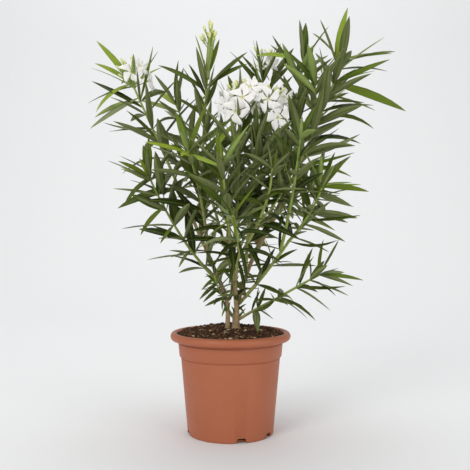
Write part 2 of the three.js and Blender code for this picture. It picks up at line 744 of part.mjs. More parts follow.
function makeCrown() {
  const limb = grown.get("root_crown");
  const rings = crown.shares.map((t, i) => roundRing(limb.at(t), up, crown.radii[i], crown.sides));
  return geometryOfSkin(ringSkin(rings));
}

for (const row of limbs) growLimb(row, limbSides, limbSteps);
for (const mass of masses) growLimb(mass, shootSides, shootSteps);

const skins = new Map(masses.map((mass) => [mass.name, [limbSkin(grown.get(mass.name))]]));
for (const mass of masses.filter((row) => row.head)) {
  skins.get(mass.name).push(...growHead(mass, grown.get(mass.name)));
}
for (const mass of masses) {
  const dice = new Dice(mass.seed);
  const stem = grown.get(mass.name);
  const twigs = growTwigs(mass, stem, dice);
  const leaves = growLeaves(mass, stem, mass.bare, dice, false);
  for (const twig of twigs) leaves.push(...growLeaves(mass, twig, 0.3, dice, true));
  const pieces = [...twigs.map((twig) => limbSkin(twig)), ...leaves.map(leafSkin)];
  skins.get(mass.name).push(...pieces);
}

addMesh("pot", geometryOf(makePot()), materials.terracotta);
addMesh("soil", makeSoil(), materials.peat);
addMesh("root_crown", makeCrown(), materials.bark);
for (const { name } of limbs) addMesh(name, geometryOfSkin(limbSkin(grown.get(name))), materials.bark);
for (const [name, pieces] of skins) addMesh(name, geometryOf(fuse(pieces)), materials.foliage);

export default plant;
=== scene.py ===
# A potted oleander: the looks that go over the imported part. Metres, in the part's own frame;
# the shrub itself is grown in millimetres by the same seeded rule as its solids.
import math

import bpy
import numpy as np
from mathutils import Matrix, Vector, noise


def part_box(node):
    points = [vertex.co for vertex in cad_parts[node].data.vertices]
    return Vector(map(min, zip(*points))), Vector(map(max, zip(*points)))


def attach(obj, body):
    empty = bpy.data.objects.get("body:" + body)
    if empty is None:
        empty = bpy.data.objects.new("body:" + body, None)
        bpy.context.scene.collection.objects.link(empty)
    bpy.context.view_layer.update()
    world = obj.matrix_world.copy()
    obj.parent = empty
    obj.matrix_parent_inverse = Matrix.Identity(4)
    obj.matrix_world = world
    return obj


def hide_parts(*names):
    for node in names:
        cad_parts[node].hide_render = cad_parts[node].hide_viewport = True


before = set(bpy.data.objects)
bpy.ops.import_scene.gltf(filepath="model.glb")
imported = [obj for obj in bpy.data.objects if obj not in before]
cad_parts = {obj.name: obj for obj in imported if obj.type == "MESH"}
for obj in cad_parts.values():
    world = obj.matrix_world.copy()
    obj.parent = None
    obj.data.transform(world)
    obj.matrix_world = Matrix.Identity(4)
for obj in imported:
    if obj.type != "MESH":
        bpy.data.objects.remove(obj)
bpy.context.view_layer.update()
bpy.ops.object.select_all(action="DESELECT")
print("frame loaded")

mm = 0.001


# Shared steps of modelling

def selectOnly(obj):
    bpy.ops.object.select_all(action="DESELECT")
    obj.select_set(True)
    bpy.context.view_layer.objects.active = obj


def toEdit(obj):
    selectOnly(obj)
    bpy.ops.object.mode_set(mode="EDIT")


def toObject():
    bpy.ops.object.mode_set(mode="OBJECT")


def applyModifier(obj, name, kind, **values):
    modifier = obj.modifiers.new(name, kind)
    for key, value in values.items():
        setattr(modifier, key, value)
    bpy.context.view_layer.objects.active = obj
    bpy.ops.object.modifier_apply(modifier=name)


def makeMesh(name, points, faces, materialNames, faceMaterials, smooth=True):
    mesh = bpy.data.meshes.new(name)
    mesh.from_pydata([tuple(p) for p in points], [], faces)
    for material in materialNames:
        mesh.materials.append(materials[material])
    mesh.polygons.foreach_set("material_index", faceMaterials)
    mesh.polygons.foreach_set("use_smooth", [smooth] * len(mesh.polygons))
    mesh.update()
    obj = bpy.data.objects.new(name, mesh)
    bpy.context.collection.objects.link(obj)
    return obj


def finishPiece(obj, slotName, *nodes):
    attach(obj, "root")
    if nodes:
        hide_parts(*nodes)
    print(f"{obj.name}: {len(obj.data.polygons)} faces")


def bandFaces(count, bands):
    # The faces between rings of count points each, and the two end caps.
    steps = [(i * count, j, (j + 1) % count) for i in range(bands) for j in range(count)]
    sides = [(ring + j, ring + k, ring + count + k, ring + count + j) for ring, j, k in steps]
    return sides + [tuple(reversed(range(count))), tuple(bands * count + j for j in range(count))]


# Camera, floor and light

cameraSizes = {
    "place": (0.007, -1.1, 0.308), "focalPx": 692.2, "imagePx": 470, "horizonPx": 237.6,
    "sensor": 36, "nearest": 0.05, "farthest": 50,
}
stageSizes = {"width": 9.0, "front": 3.5, "back": 3.2, "height": 5.0, "bend": 1.6, "bendSteps": 24}
lampSizes = [
    # name, place, aimed at, width, power
    ("keyLamp", (-1.6, -2.4, 1.7), (0, 0, 0.35), 1.2, 32),
    ("fillLamp", (1.9, -1.9, 0.8), (0, 0, 0.3), 1.4, 13),
    ("topLamp", (0.1, 0.3, 2.6), (0, 0, 0.2), 1.4, 5),
    ("wallLamp", (0, 1.3, 3.8), (0, 3.2, 1.0), 2.6, 41),
]
worldStrength = 0.59


def addCamera():
    sizes = cameraSizes
    tilt = math.atan((sizes["horizonPx"] - sizes["imagePx"] / 2) / sizes["focalPx"])
    bpy.ops.object.camera_add(location=sizes["place"], rotation=(math.pi / 2 + tilt, 0, 0))
    camera = bpy.context.object
    camera.name = "camera"
    camera.data.sensor_width = sizes["sensor"]
    camera.data.lens = sizes["sensor"] * sizes["focalPx"] / sizes["imagePx"]
    camera.data.clip_start, camera.data.clip_end = sizes["nearest"], sizes["farthest"]
    bpy.context.scene.camera = camera


def addStage():
    # A pale floor that bends up into a wall.
    sizes = stageSizes
    bpy.ops.mesh.primitive_plane_add(size=1, location=(0, 0, 0))
    floor = bpy.context.object
    floor.name = "paleFloor"
    toEdit(floor)
    bpy.ops.transform.resize(value=(sizes["width"], sizes["front"] + sizes["back"], 1))
    bpy.ops.transform.translate(value=(0, (sizes["back"] - sizes["front"]) / 2, 0))
    bpy.ops.mesh.select_all(action="DESELECT")
    toObject()
    for edge in floor.data.edges:
        edge.select = all(floor.data.vertices[v].co.y > 0 for v in edge.vertices)
    toEdit(floor)
    bpy.ops.mesh.select_mode(type="EDGE")
    bpy.ops.mesh.extrude_edges_move(TRANSFORM_OT_translate={"value": (0, 0, sizes["height"])})
    toObject()
    applyModifier(floor, "bend", "BEVEL", width=sizes["bend"], segments=sizes["bendSteps"],
                  limit_method="ANGLE")
    bpy.ops.object.shade_smooth()
    paper = bpy.data.materials.new("palePaper")
    paper.use_nodes = True
    setSockets(paper.node_tree.nodes["Principled BSDF"],
               {"Base Color": (0.84, 0.845, 0.85, 1), "Roughness": 0.95, "Specular IOR Level": 0.1})
    floor.data.materials.append(paper)


def addLamps():
    for name, place, aim, width, power in lampSizes:
        turn = (Vector(aim) - Vector(place)).to_track_quat("-Z", "Y").to_euler()
        bpy.ops.object.light_add(type="AREA", location=place, rotation=turn)
        lamp = bpy.context.object
        lamp.name = name
        lamp.data.shape, lamp.data.size, lamp.data.energy = "SQUARE", width, power
    world = bpy.context.scene.world or bpy.data.worlds.new("studio")
    bpy.context.scene.world = world
    world.use_nodes = True
    setSockets(world.node_tree.nodes["Background"], {"Color": (1, 1, 1, 1), "Strength": worldStrength})
    bpy.context.scene.view_settings.view_transform = "Standard"


# Materials

looks = {
    # colours as seen on screen, 0 to 255; the rest as makeMaterial takes it
    "terracottaPlastic": dict(colour=(173, 99, 66), second=(163, 91, 59), patches=22, speckle=420,
                              strength=0.5, roughness=(0.42, 0.56), grain=1500, bump=0.12, depth=0.1,
                              specular=0.42),
    "peat": dict(colour=(58, 40, 28), second=(96, 70, 50), patches=260, speckle=1600, strength=0.8,
                 roughness=(0.85, 1), grain=900, bump=0.9, depth=0.8, specular=0.15),
    "peatCrumb": dict(colour=(84, 60, 42), second=(40, 27, 19), patches=420, speckle=2200, strength=0.8,
                      roughness=(0.8, 1), grain=1600, bump=0.8, depth=0.5, specular=0.2),
    "barkCrumb": dict(colour=(136, 98, 68), second=(86, 58, 40), patches=420, speckle=2200, strength=0.8,
                      roughness=(0.75, 0.95), grain=1300, bump=0.7, depth=0.4, specular=0.25),
    "paleChip": dict(colour=(212, 188, 154), second=(162, 130, 98), patches=420, speckle=1800, strength=0.8,
                     roughness=(0.7, 0.9), grain=1300, bump=0.6, depth=0.3, specular=0.3),
    "stemSkin": dict(colour=(178, 151, 114), second=(132, 109, 80), patches=140, speckle=1300, strength=0.9,
                     roughness=(0.7, 0.9), grain=700, stretch=0.3, bump=0.7, depth=0.5, specular=0.3),
    "leafDeep": dict(colour=(42, 54, 15), second=(52, 65, 21), roughness=(0.4, 0.52), specular=0.14),
    "leafDark": dict(colour=(67, 83, 22), second=(79, 95, 28), roughness=(0.4, 0.52), specular=0.15),
    "leafMid": dict(colour=(93, 113, 27), second=(105, 125, 32), roughness=(0.4, 0.54), specular=0.16),
    "leafFresh": dict(colour=(132, 155, 42), second=(146, 167, 48), roughness=(0.42, 0.56), specular=0.18),
    "leafPale": dict(colour=(118, 128, 88), second=(136, 145, 108), roughness=(0.5, 0.62), specular=0.2),
    "leafUnder": dict(colour=(112, 122, 74), second=(126, 134, 88), roughness=(0.6, 0.75), specular=0.15),
    "leafUnderFresh": dict(colour=(138, 158, 86), second=(152, 170, 100), roughness=(0.6, 0.75),
                           specular=0.15),
    "leafMidrib": dict(colour=(88, 106, 42), second=(100, 116, 52), roughness=(0.5, 0.6), specular=0.15),
    "leafMidribFresh": dict(colour=(136, 156, 68), second=(152, 170, 84), roughness=(0.5, 0.6),
                            specular=0.15),
    "petal": dict(colour=(246, 244, 240), second=(236, 233, 226), patches=120, strength=0.5,
                  roughness=(0.5, 0.62), grain=900, bump=0.15, sheen=0.1),
    "throat": dict(colour=(240, 238, 206), second=(224, 222, 172), patches=200, roughness=(0.55, 0.7)),
    "budCream": dict(colour=(230, 228, 170), second=(206, 212, 130), patches=200, roughness=(0.5, 0.62)),
    "budGreen": dict(colour=(150, 172, 72), second=(172, 188, 92), patches=200, roughness=(0.45, 0.6)),
    "headStalk": dict(colour=(132, 152, 76), second=(150, 150, 92), patches=150, roughness=(0.45, 0.6)),
}
greenSkin = dict(colour=(148, 171, 82), second=(128, 152, 68), patches=90, speckle=900, strength=0.5)


def colourOf(red, green, blue):
    # A colour seen on screen as the linear values that a shader takes.
    linear = [c / 255 / 12.92 if c < 10 else ((c / 255 + 0.055) / 1.055) ** 2.4 for c in (red, green, blue)]
    return (*linear, 1)


def setSockets(node, values):
    for label, value in values.items():
        node.inputs[label].default_value = value


def addNode(nodes, kind, values=None, **settings):
    node = nodes.new("ShaderNode" + kind)
    for key, value in settings.items():
        setattr(node, key, value)
    setSockets(node, values or {})
    return node


def newGroup(name, inputs, outputs):
    # A node group with inputs by name and starting value, and outputs by name and kind.
    group = bpy.data.node_groups.new(name, "ShaderNodeTree")
    for label, value in inputs.items():
        kind = "NodeSocketFloat" if isinstance(value, float) else "NodeSocketColor"
        group.interface.new_socket(name=label, in_out="INPUT", socket_type=kind).default_value = value
    for label, kind in outputs.items():
        group.interface.new_socket(name=label, in_out="OUTPUT", socket_type=kind)
    return group, group.nodes.new("NodeGroupInput"), group.nodes.new("NodeGroupOutput")


def makeMottleGroup():
    # Two colours in soft uneven patches, with a finer speckle inside them.
    inputs = {"Colour": (0.5, 0.5, 0.5, 1), "Second Colour": (0.3, 0.3, 0.3, 1), "Patches": 60.0,
              "Speckle": 900.0, "Strength": 0.5}
    outputs = {"Colour": "NodeSocketColor", "Mask": "NodeSocketFloat"}
    group, first, last = newGroup("mottle", inputs, outputs)
    nodes, link = group.nodes, group.links.new
    place, blend = addNode(nodes, "TexCoord"), addNode(nodes, "Math", operation="ADD")
    for i, label in enumerate(("Patches", "Speckle")):
        texture = addNode(nodes, "TexNoise", {"Detail": 3})
        link(place.outputs["Object"], texture.inputs["Vector"])
        link(first.outputs[label], texture.inputs["Scale"])
        link(texture.outputs["Fac"], blend.inputs[i])
    spread = addNode(nodes, "MapRange", {"From Min": 0.7, "From Max": 1.3})
    scaled, mix = addNode(nodes, "Math", operation="MULTIPLY"), addNode(nodes, "Mix", data_type="RGBA")
    link(blend.outputs[0], spread.inputs["Value"])
    link(spread.outputs["Result"], scaled.inputs[0])
    link(first.outputs["Strength"], scaled.inputs[1])
    link(scaled.outputs[0], mix.inputs["Factor"])
    link(first.outputs["Colour"], mix.inputs["A"])
    link(first.outputs["Second Colour"], mix.inputs["B"])
    link(mix.outputs["Result"], last.inputs["Colour"])
    link(spread.outputs["Result"], last.inputs["Mask"])
    return group


def makeGrainGroup():
    # A fine uneven surface: the height of a bump.
    inputs = {"Scale": 800.0, "Roughen": 0.5, "Stretch": 1.0}
    group, first, last = newGroup("grain", inputs, {"Height": "NodeSocketFloat"})
    nodes, link = group.nodes, group.links.new
    place, mapping = addNode(nodes, "TexCoord"), addNode(nodes, "Mapping")
    scale = addNode(nodes, "CombineXYZ", {"X": 1, "Y": 1})
    texture = addNode(nodes, "TexNoise", {"Detail": 4})
    link(first.outputs["Stretch"], scale.inputs["Z"])
    link(place.outputs["Object"], mapping.inputs["Vector"])
    link(scale.outputs["Vector"], mapping.inputs["Scale"])
    link(mapping.outputs["Vector"], texture.inputs["Vector"])
    link(first.outputs["Scale"], texture.inputs["Scale"])
    link(first.outputs["Roughen"], texture.inputs["Roughness"])
    link(texture.outputs["Fac"], last.inputs["Height"])
    return group


def addMottle(nodes, colour, second, patches, speckle, strength):
    return addNode(nodes, "Group", {"Colour": colourOf(*colour), "Second Colour": colourOf(*second),
                                    "Patches": patches, "Speckle": speckle, "Strength": strength},
                   node_tree=mottleGroup)


def makeMaterial(name, colour, second, roughness, patches=60, speckle=900, strength=0.7, grain=800,
                 stretch=1, bump=0.2, depth=0.3, specular=0.5, sheen=0):
    # One material: a mottled colour, a mottled roughness from low to high, and a fine bump.
    material = bpy.data.materials.new(name)
    material.use_nodes = True
    nodes, link = material.node_tree.nodes, material.node_tree.links.new
    shader = nodes["Principled BSDF"]
    setSockets(shader, {"Specular IOR Level": specular, "Sheen Weight": sheen})
    mottle = addMottle(nodes, colour, second, patches, speckle, strength)
    rough = addNode(nodes, "MapRange", {"To Min": roughness[0], "To Max": roughness[1]})
    height = addNode(nodes, "Group", node_tree=grainGroup)
    setSockets(height, {"Scale": grain, "Stretch": stretch})
    relief = addNode(nodes, "Bump", {"Strength": bump, "Distance": depth * mm})
    link(mottle.outputs["Colour"], shader.inputs["Base Color"])
    link(mottle.outputs["Mask"], rough.inputs["Value"])
    link(rough.outputs["Result"], shader.inputs["Roughness"])
    link(height.outputs["Height"], relief.inputs["Height"])
    link(relief.outputs["Normal"], shader.inputs["Normal"])
    return material


def turnStemGreen(material):
    # The bark of a stem's foot turns to smooth green skin as its age falls to nothing.
    nodes, link = material.node_tree.nodes, material.node_tree.links.new
    shader = nodes["Principled BSDF"]
    bark = shader.inputs["Base Color"].links[0].from_socket
    green, mix = addMottle(nodes, **greenSkin), addNode(nodes, "Mix", data_type="RGBA")
    age = addNode(nodes, "Attribute", attribute_name="age")
    link(age.outputs["Fac"], mix.inputs["Factor"])
    link(green.outputs["Colour"], mix.inputs["A"])
    link(bark, mix.inputs["B"])
    link(mix.outputs["Result"], shader.inputs["Base Color"])


addCamera()
addStage()
addLamps()
print("camera, floor and lamps ready")
mottleGroup = makeMottleGroup()
grainGroup = makeGrainGroup()
materials = {name: makeMaterial(name, **look) for name, look in looks.items()}
turnStemGreen(materials["stemSkin"])
print("materials ready")


# Pot

potSizes = {
    # outside of the wall as radius and height, from the underside up
    "wall": [(67.8, 1.6), (78.4, 118.9), (77.8, 119.3), (77.9, 120.5), (80.3, 121.3), (80.8, 122.4),
             (82.8, 142.6), (81.8, 143), (81.8, 145.2), (83.6, 146.8)],
    "foot": 66.4, "sides": 144, "softEdge": 0.5, "softFrom": 38, "smoothBelow": 32,
    "rimRadius": 89.5, "rimHeight": 152.8, "rimHalf": (5.6, 6.4),
    "rimFrom": -125, "rimTo": 165, "rimSteps": 18,
    "inside": [(83.5, 152), (80, 143), (78.2, 122), (76, 120), (66.1, 3.2)],
}
slotSizes = {"first": 14.3, "apart": 45, "count": 7, "foot": 20, "top": 11.5, "height": 7.7, "depth": 9,
             "past": 2}


def addRing(radius, height, last):
    # Extrudes the open edge of a turned shape to its next ring.
    bpy.ops.mesh.extrude_edges_move(TRANSFORM_OT_translate={"value": (0, 0, (height - last[1]) * mm)})
    share = radius / last[0]
    bpy.ops.transform.resize(value=(share, share, 1), center_override=(0, 0, height * mm))
    return radius, height


def makePot():
    sizes = potSizes
    half = sizes["rimHalf"]
    turns = np.radians(np.linspace(sizes["rimFrom"], sizes["rimTo"], sizes["rimSteps"]))
    rim = [(sizes["rimRadius"] + half[0] * math.cos(turn), sizes["rimHeight"] + half[1] * math.sin(turn))
           for turn in turns]
    last = (sizes["foot"], 0)
    bpy.ops.mesh.primitive_circle_add(vertices=sizes["sides"], radius=last[0] * mm, fill_type="NGON")
    pot = bpy.context.object
    pot.name = "potShell"
    toEdit(pot)
    bpy.ops.mesh.select_mode(type="EDGE")
    bpy.ops.mesh.select_all(action="SELECT")
    for radius, height in [*sizes["wall"], *rim, *sizes["inside"]]:
        last = addRing(radius, height, last)
    bpy.ops.mesh.edge_face_add()
    bpy.ops.mesh.select_all(action="SELECT")
    bpy.ops.mesh.normals_make_consistent(inside=False)
    toObject()
    cutSlots(pot)
    applyModifier(pot, "softEdge", "BEVEL", width=sizes["softEdge"] * mm, segments=2, limit_method="ANGLE",
                  angle_limit=math.radians(sizes["softFrom"]))
    selectOnly(pot)
    bpy.ops.object.shade_smooth_by_angle(angle=math.radians(sizes["smoothBelow"]))
    pot.data.materials.append(materials["terracottaPlastic"])
    finishPiece(pot, "pot", "pot")


def makeSlotCutter(turn):
    # A wedge, narrow at its top, through the corner of wall and underside.
    sizes = slotSizes
    depth, height = sizes["depth"] + sizes["past"], sizes["height"] + sizes["past"]
    outward = potSizes["wall"][0][0] - sizes["depth"] + depth / 2
    middle = (0, -outward * mm, (sizes["height"] - height / 2) * mm)
    bpy.ops.mesh.primitive_cube_add(size=1, location=(0, 0, 0))
    cutter = bpy.context.object
    toEdit(cutter)
    bpy.ops.transform.resize(value=(sizes["foot"] * mm, depth * mm, height * mm))
    bpy.ops.transform.translate(value=middle)
    bpy.ops.mesh.select_all(action="DESELECT")
    toObject()
    for vertex in cutter.data.vertices:
        vertex.select = vertex.co.z > 0
    toEdit(cutter)
    bpy.ops.transform.resize(value=(sizes["top"] / sizes["foot"], 1, 1), center_override=middle)
    toObject()
    cutter.rotation_euler = (0, 0, math.radians(turn))
    selectOnly(cutter)
    bpy.ops.object.transform_apply(location=True, rotation=True, scale=True)
    return cutter


def cutSlots(pot):
    turns = [slotSizes["first"] + slotSizes["apart"] * k for k in range(slotSizes["count"])]
    cutters = [makeSlotCutter(turn) for turn in turns]
    selectOnly(cutters[0])
    for cutter in cutters:
        cutter.select_set(True)
    bpy.ops.object.join()
    cutter = bpy.context.object
    applyModifier(pot, "slots", "BOOLEAN", operation="DIFFERENCE", object=cutter, solver="EXACT")
    bpy.data.objects.remove(cutter)


makePot()


# Soil

soilSizes = {
    "edge": 157, "middle": 163, "flat": 13, "rim": 83.6, "sunk": 0.6, "fall": 1.35,
    "rings": 60, "turns": 200, "crowding": 0.8,
    # the mound's foot as radius and height, and the shrub's as its place across and radius
    "foot": (80.2, 143), "stump": (7, 9.5), "clearOfWall": 2.5,
    # lumps as their fineness, place in the noise and height, how high they all stand, and how they calm
    # down towards the wall
    "lumps": [(0.09, 3, 1.3), (0.28, 7, 1), (0.7, 11, 0.7)], "rough": 1.7, "calm": 6, "calmest": 0.35,
    "calmFrom": 0.2,
    # a heap behind the shrub's foot: its middle, its reach both ways and its height
    "heap": (-6, 66, 58, 26, 3.6),
}
crumbSizes = {"count": 3600, "size": (0.8, 3.4), "flat": (0.5, 0.9), "seed": 21, "sunk": 0.1,
              "looks": {"peat": 0.4, "peatCrumb": 0.42, "barkCrumb": 0.18}}
chipSizes = {"count": 380, "size": (1.5, 4.6), "flat": (0.18, 0.4), "seed": 22, "sunk": 0.05,
             "looks": {"barkCrumb": 0.55, "paleChip": 0.45}}


def soilHeight(x, y):
    # The mound's height in mm, with lumps that fade towards the wall.
    sizes = soilSizes
    out = math.hypot(x, y)
    share = min(1, max(0, (out - sizes["flat"]) / (sizes["rim"] - sizes["flat"])))
    height = sizes["middle"] - sizes["sunk"] + (sizes["edge"] - sizes["middle"]) * share ** sizes["fall"]
    heapX, heapY, wide, deep, high = sizes["heap"]
    height += high * math.exp(-((x - heapX) / wide) ** 2 - ((y - heapY) / deep) ** 2)
    lump = sum(rise * noise.noise(Vector((x * fine, y * fine, place)))
               for fine, place, rise in sizes["lumps"])
    fromWall = min(1, (sizes["rim"] - out) / sizes["calm"] + sizes["calmFrom"])
    return height + lump * sizes["rough"] * (sizes["calmest"] + (1 - sizes["calmest"]) * fromWall)


def makeSoilMound():
    sizes = soilSizes
    rings, turns = sizes["rings"], sizes["turns"]
    around = [2 * math.pi * j / turns for j in range(turns)]
    points = [(0, 0, soilHeight(0, 0) * mm)]
    for i in range(1, rings + 1):
        out = sizes["rim"] * (i / rings) ** sizes["crowding"]
        for turn in around:
            x, y = out * math.cos(turn), out * math.sin(turn)
            points.append((x * mm, y * mm, soilHeight(x, y) * mm))
    foot, low = sizes["foot"]
    points += [(foot * math.cos(turn) * mm, foot * math.sin(turn) * mm, low * mm) for turn in around]
    faces = [(0, 1 + j, 1 + (j + 1) % turns) for j in range(turns)]
    for i in range(rings):
        for j in range(turns):
            a, b = 1 + i * turns + j, 1 + i * turns + (j + 1) % turns
            faces.append((a, a + turns, b + turns, b))
    faces.append(tuple(1 + rings * turns + j for j in reversed(range(turns))))
    mound = makeMesh("peatMound", points, faces, ["peat"], [0] * len(faces))
    finishPiece(mound, "soil", "soil")


lumpShape = {"rareLarge": 2.6, "uneven": 0.5, "narrowest": 0.75, "lean": 0.5, "stand": 0.35}
crumbCorners = [(1, 0, 0), (-1, 0, 0), (0, 1, 0), (0, -1, 0), (0, 0, 1), (0, 0, -1)]
crumbFaces = [(0, 2, 4), (2, 1, 4), (1, 3, 4), (3, 0, 4), (2, 0, 5), (1, 2, 5), (3, 1, 5), (0, 3, 5)]


def scatter(name, sizes):
    # Many small lumps on the mound, each a squashed and turned solid of eight faces.
    rng, shape = np.random.default_rng(sizes["seed"]), lumpShape
    points, faces, kinds = [], [], []
    smallest, largest = sizes["size"]
    thin, thick = sizes["flat"]
    looksOf, shares = list(sizes["looks"]), list(sizes["looks"].values())
    stumpX, stumpRadius = soilSizes["stump"]
    for _ in range(sizes["count"]):
        out = (soilSizes["rim"] - soilSizes["clearOfWall"]) * math.sqrt(rng.random())
        turn = 2 * math.pi * rng.random()
        x, y = out * math.cos(turn), out * math.sin(turn)
        if math.hypot(x - stumpX, y) < stumpRadius:
            continue
        size = smallest + (largest - smallest) * rng.random() ** shape["rareLarge"]
        corners = np.array(crumbCorners) * (1 + shape["uneven"] * (rng.random((6, 1)) - 0.5))
        flat = thin + (thick - thin) * rng.random()
        deep = shape["narrowest"] + (1 - shape["narrowest"]) * rng.random()
        corners = corners * np.array([1, deep, flat])
        spin, lean = 2 * math.pi * rng.random(), shape["lean"] * (rng.random(2) - 0.5)
        across, along = math.cos(spin), math.sin(spin)
        turned = corners @ np.array([[across, along, 0], [-along, across, 0], [0, 0, 1]])
        turned[:, 2] += turned[:, 0] * lean[0] + turned[:, 1] * lean[1]
        middle = np.array([x, y, soilHeight(x, y) + size * (shape["stand"] - sizes["sunk"])])
        start = len(points)
        points.extend((middle + turned * size) * mm)
        faces.extend([tuple(start + v for v in face) for face in crumbFaces])
        kinds.extend([int(rng.choice(len(shares), p=shares))] * len(crumbFaces))
    piece = makeMesh(name, points, faces, looksOf, kinds, smooth=False)
    finishPiece(piece, "soil")


makeSoilMound()
scatter("peatCrumbs", crumbSizes)
scatter("paleChips", chipSizes)
print("pot and soil ready")


# The shrub: stems, and the leafy shoots that each grow from one stem, all in mm

def named(keys, rows):
    # Rows of a table as dictionaries, under the keys that the table starts with.
    return [dict(zip(keys.split(), row)) for row in rows]


crown = {"x": 7, "height": 28, "radius": 8.6, "sides": 9}
clearance, seat, stemCircle = 0.3, 0.4, 4.6

limbs = named("name turn through tip thick", [
    ("left_stem", 185, [-21, 2, 247], [-48, 8, 310], [3.8, 2.7]),
    ("middle_stem", 305, [7, -16, 233], [5, -42, 280], [3.7, 2.6]),
    ("right_stem", 65, [25, 12, 247], [53, 22, 315], [3.8, 2.7]),
]) + named("name on at through tip thick", [
    ("outer_right_stem", "right_stem", 0.14, [55, -22, 254], [90, -40, 303], [2.9, 2.2]),
    ("back_stem", "left_stem", 0.16, [2, 48, 232], [-8, 92, 288], [3, 2.3]),
    ("low_right_branch", "root_crown", 0.6, [42, -16, 197], [69, -28, 212], [2.3, 1.8]),
])

# A shoot's first line places its stem. The second says how its leaves grow: the bare share of the stem,
# the gap between whorls, a leaf's length, its spread from the stem low and high, the spread and size of
# the topmost, the droop and the first whorl's turn; then the finer twigs on each stem, how fresh the
# leaves look and how broad they are.
masses = named("name on at through tip thick seed bare gap leaf spread top droop turn twigs fresh broad", [
    ("left_top_shoot", "left_stem", 1, [-45, 6, 433], [-37, 2, 569], [2.3, 1.3], 135,
     0.08, 34, 79, [59, 28], [14, 0.9], 0.24, 50, 0, 0.1, 0.95),
    ("right_outer_shoot", "right_stem", 0.8, [114, 2, 435], [178, -4, 590], [2.3, 1.2], 427,
     0.42, 31, 96, [54, 40], [46, 1], 0.62, 14, 2, -0.04, 1.25),
    ("left_outer_shoot", "left_stem", 0.93, [-96, -2, 419], [-158, 12, 555], [2.3, 1.2], 168,
     0.36, 30, 94, [72, 56], [66, 1], 0.92, 44, 1, -0.06, 1.25),
    ("right_top_shoot", "right_stem", 1, [94, 28, 452], [118, 24, 597], [2.3, 1.2], 135,
     0.2, 31, 86, [50, 48], [18, 0.85], 0.21, 40, 2, -0.06, 1.25),
    ("low_right_shoot", "low_right_branch", 1, [106, -34, 234], [137, -40, 251], [1.7, 1.1], 317,
     0.05, 27, 63, [62, 34], [40, 0.9], 0.51, 34, 0, 0.2, 1.25),
    ("right_side_shoot", "outer_right_stem", 1, [118, -48, 341], [138, -58, 384], [2, 1.2], 136,
     0.08, 24, 74, [64, 63], [54, 0.85], 0.31, 18, 1, 0.12, 1.25),
    ("left_low_shoot", "left_stem", 0.45, [-75, -26, 308], [-122, -58, 399], [2.1, 1.2], 55,
     0.16, 31, 80, [54, 60], [40, 0.8], 0.23, 18, 1, 0.08, 1.3),
    ("middle_top_shoot", "middle_stem", 1, [12, -52, 388], [16, -40, 501], [2.3, 1.3], 21,
     0.1, 29, 87, [56, 24], [24, 0.8], 0.37, 24, 2, -0.04, 1.18),
    ("centre_top_shoot", "right_stem", 0.55, [37, -8, 399], [59, -22, 510], [2.2, 1.2], 202,
     0.25, 32, 71, [52, 48], [52, 0.8], 0.27, 14, 2, -0.04, 1.15),
    ("right_inner_shoot", "right_stem", 0.9, [52, 60, 456], [53, 66, 575], [2.2, 1.2], 23,
     0.2, 36, 85, [42, 42], [24, 0.8], 0.38, 6, 1, -0.06, 1.15),
    ("front_right_shoot", "middle_stem", 0.94, [47, -90, 344], [60, -108, 407], [2.1, 1.2], 249,
     0.18, 33, 72, [76, 64], [54, 0.85], 0.73, 52, 1, -0.14, 1.08),
    ("middle_front_shoot", "middle_stem", 0.86, [-4, -96, 342], [-11, -128, 408], [2.1, 1.2], 290,
     0.18, 32, 84, [68, 36], [58, 0.8], 0.47, 34, 1, -0.14, 1.05),
    ("left_front_shoot", "left_stem", 0.8, [-44, -60, 365], [-60, -112, 433], [2.2, 1.2], 136,
     0.22, 33, 83, [52, 56], [54, 0.8], 0.32, 38, 1, -0.1, 1.08),
    ("right_front_shoot", "outer_right_stem", 0.86, [91, -85, 370], [99, -124, 448], [2.1, 1.2], 40,
     0.18, 31, 71, [60, 38], [38, 0.85], 0.91, 54, 1, -0.12, 1.05),
    ("left_back_shoot", "back_stem", 0.86, [-46, 125, 411], [-101, 150, 551], [2.2, 1.2], 47,
     0.22, 37, 82, [56, 48], [34, 0.9], 0.52, 2, 1, -0.12, 1.15),
    ("back_shoot", "back_stem", 1, [2, 140, 404], [9, 150, 540], [2.3, 1.2], 108,
     0.18, 36, 78, [66, 42], [34, 0.85], 0.57, 2, 1, -0.12, 1.15),
    ("right_back_shoot", "right_stem", 0.68, [93, 90, 391], [157, 120, 563], [2.2, 1.2], 35,
     0.25, 44, 79, [66, 42], [42, 0.9], 0.19, 8, 1, -0.1, 1.15),
    ("front_low_shoot", "middle_stem", 0.62, [12, -95, 297], [4, -165, 338], [2, 1.1], 30,
     0.28, 26, 67, [76, 56], [52, 0.8], 0.93, 48, 0, -0.14, 0.62),
    ("back_low_shoot", "back_stem", 0.6, [7, 125, 305], [28, 190, 371], [2, 1.1], 83,
     0.22, 30, 74, [54, 46], [46, 0.8], 0.54, 10, 1, -0.1, 1.1),
    ("low_left_sprig", "left_stem", 0.2, [-18, -14, 226], [-25, -24, 250], [1.3, 0.9], 69,
     0.15, 14, 31, [62, 40], [26, 0.8], 0.43, 2, 0, 0.05, 1.2),
])

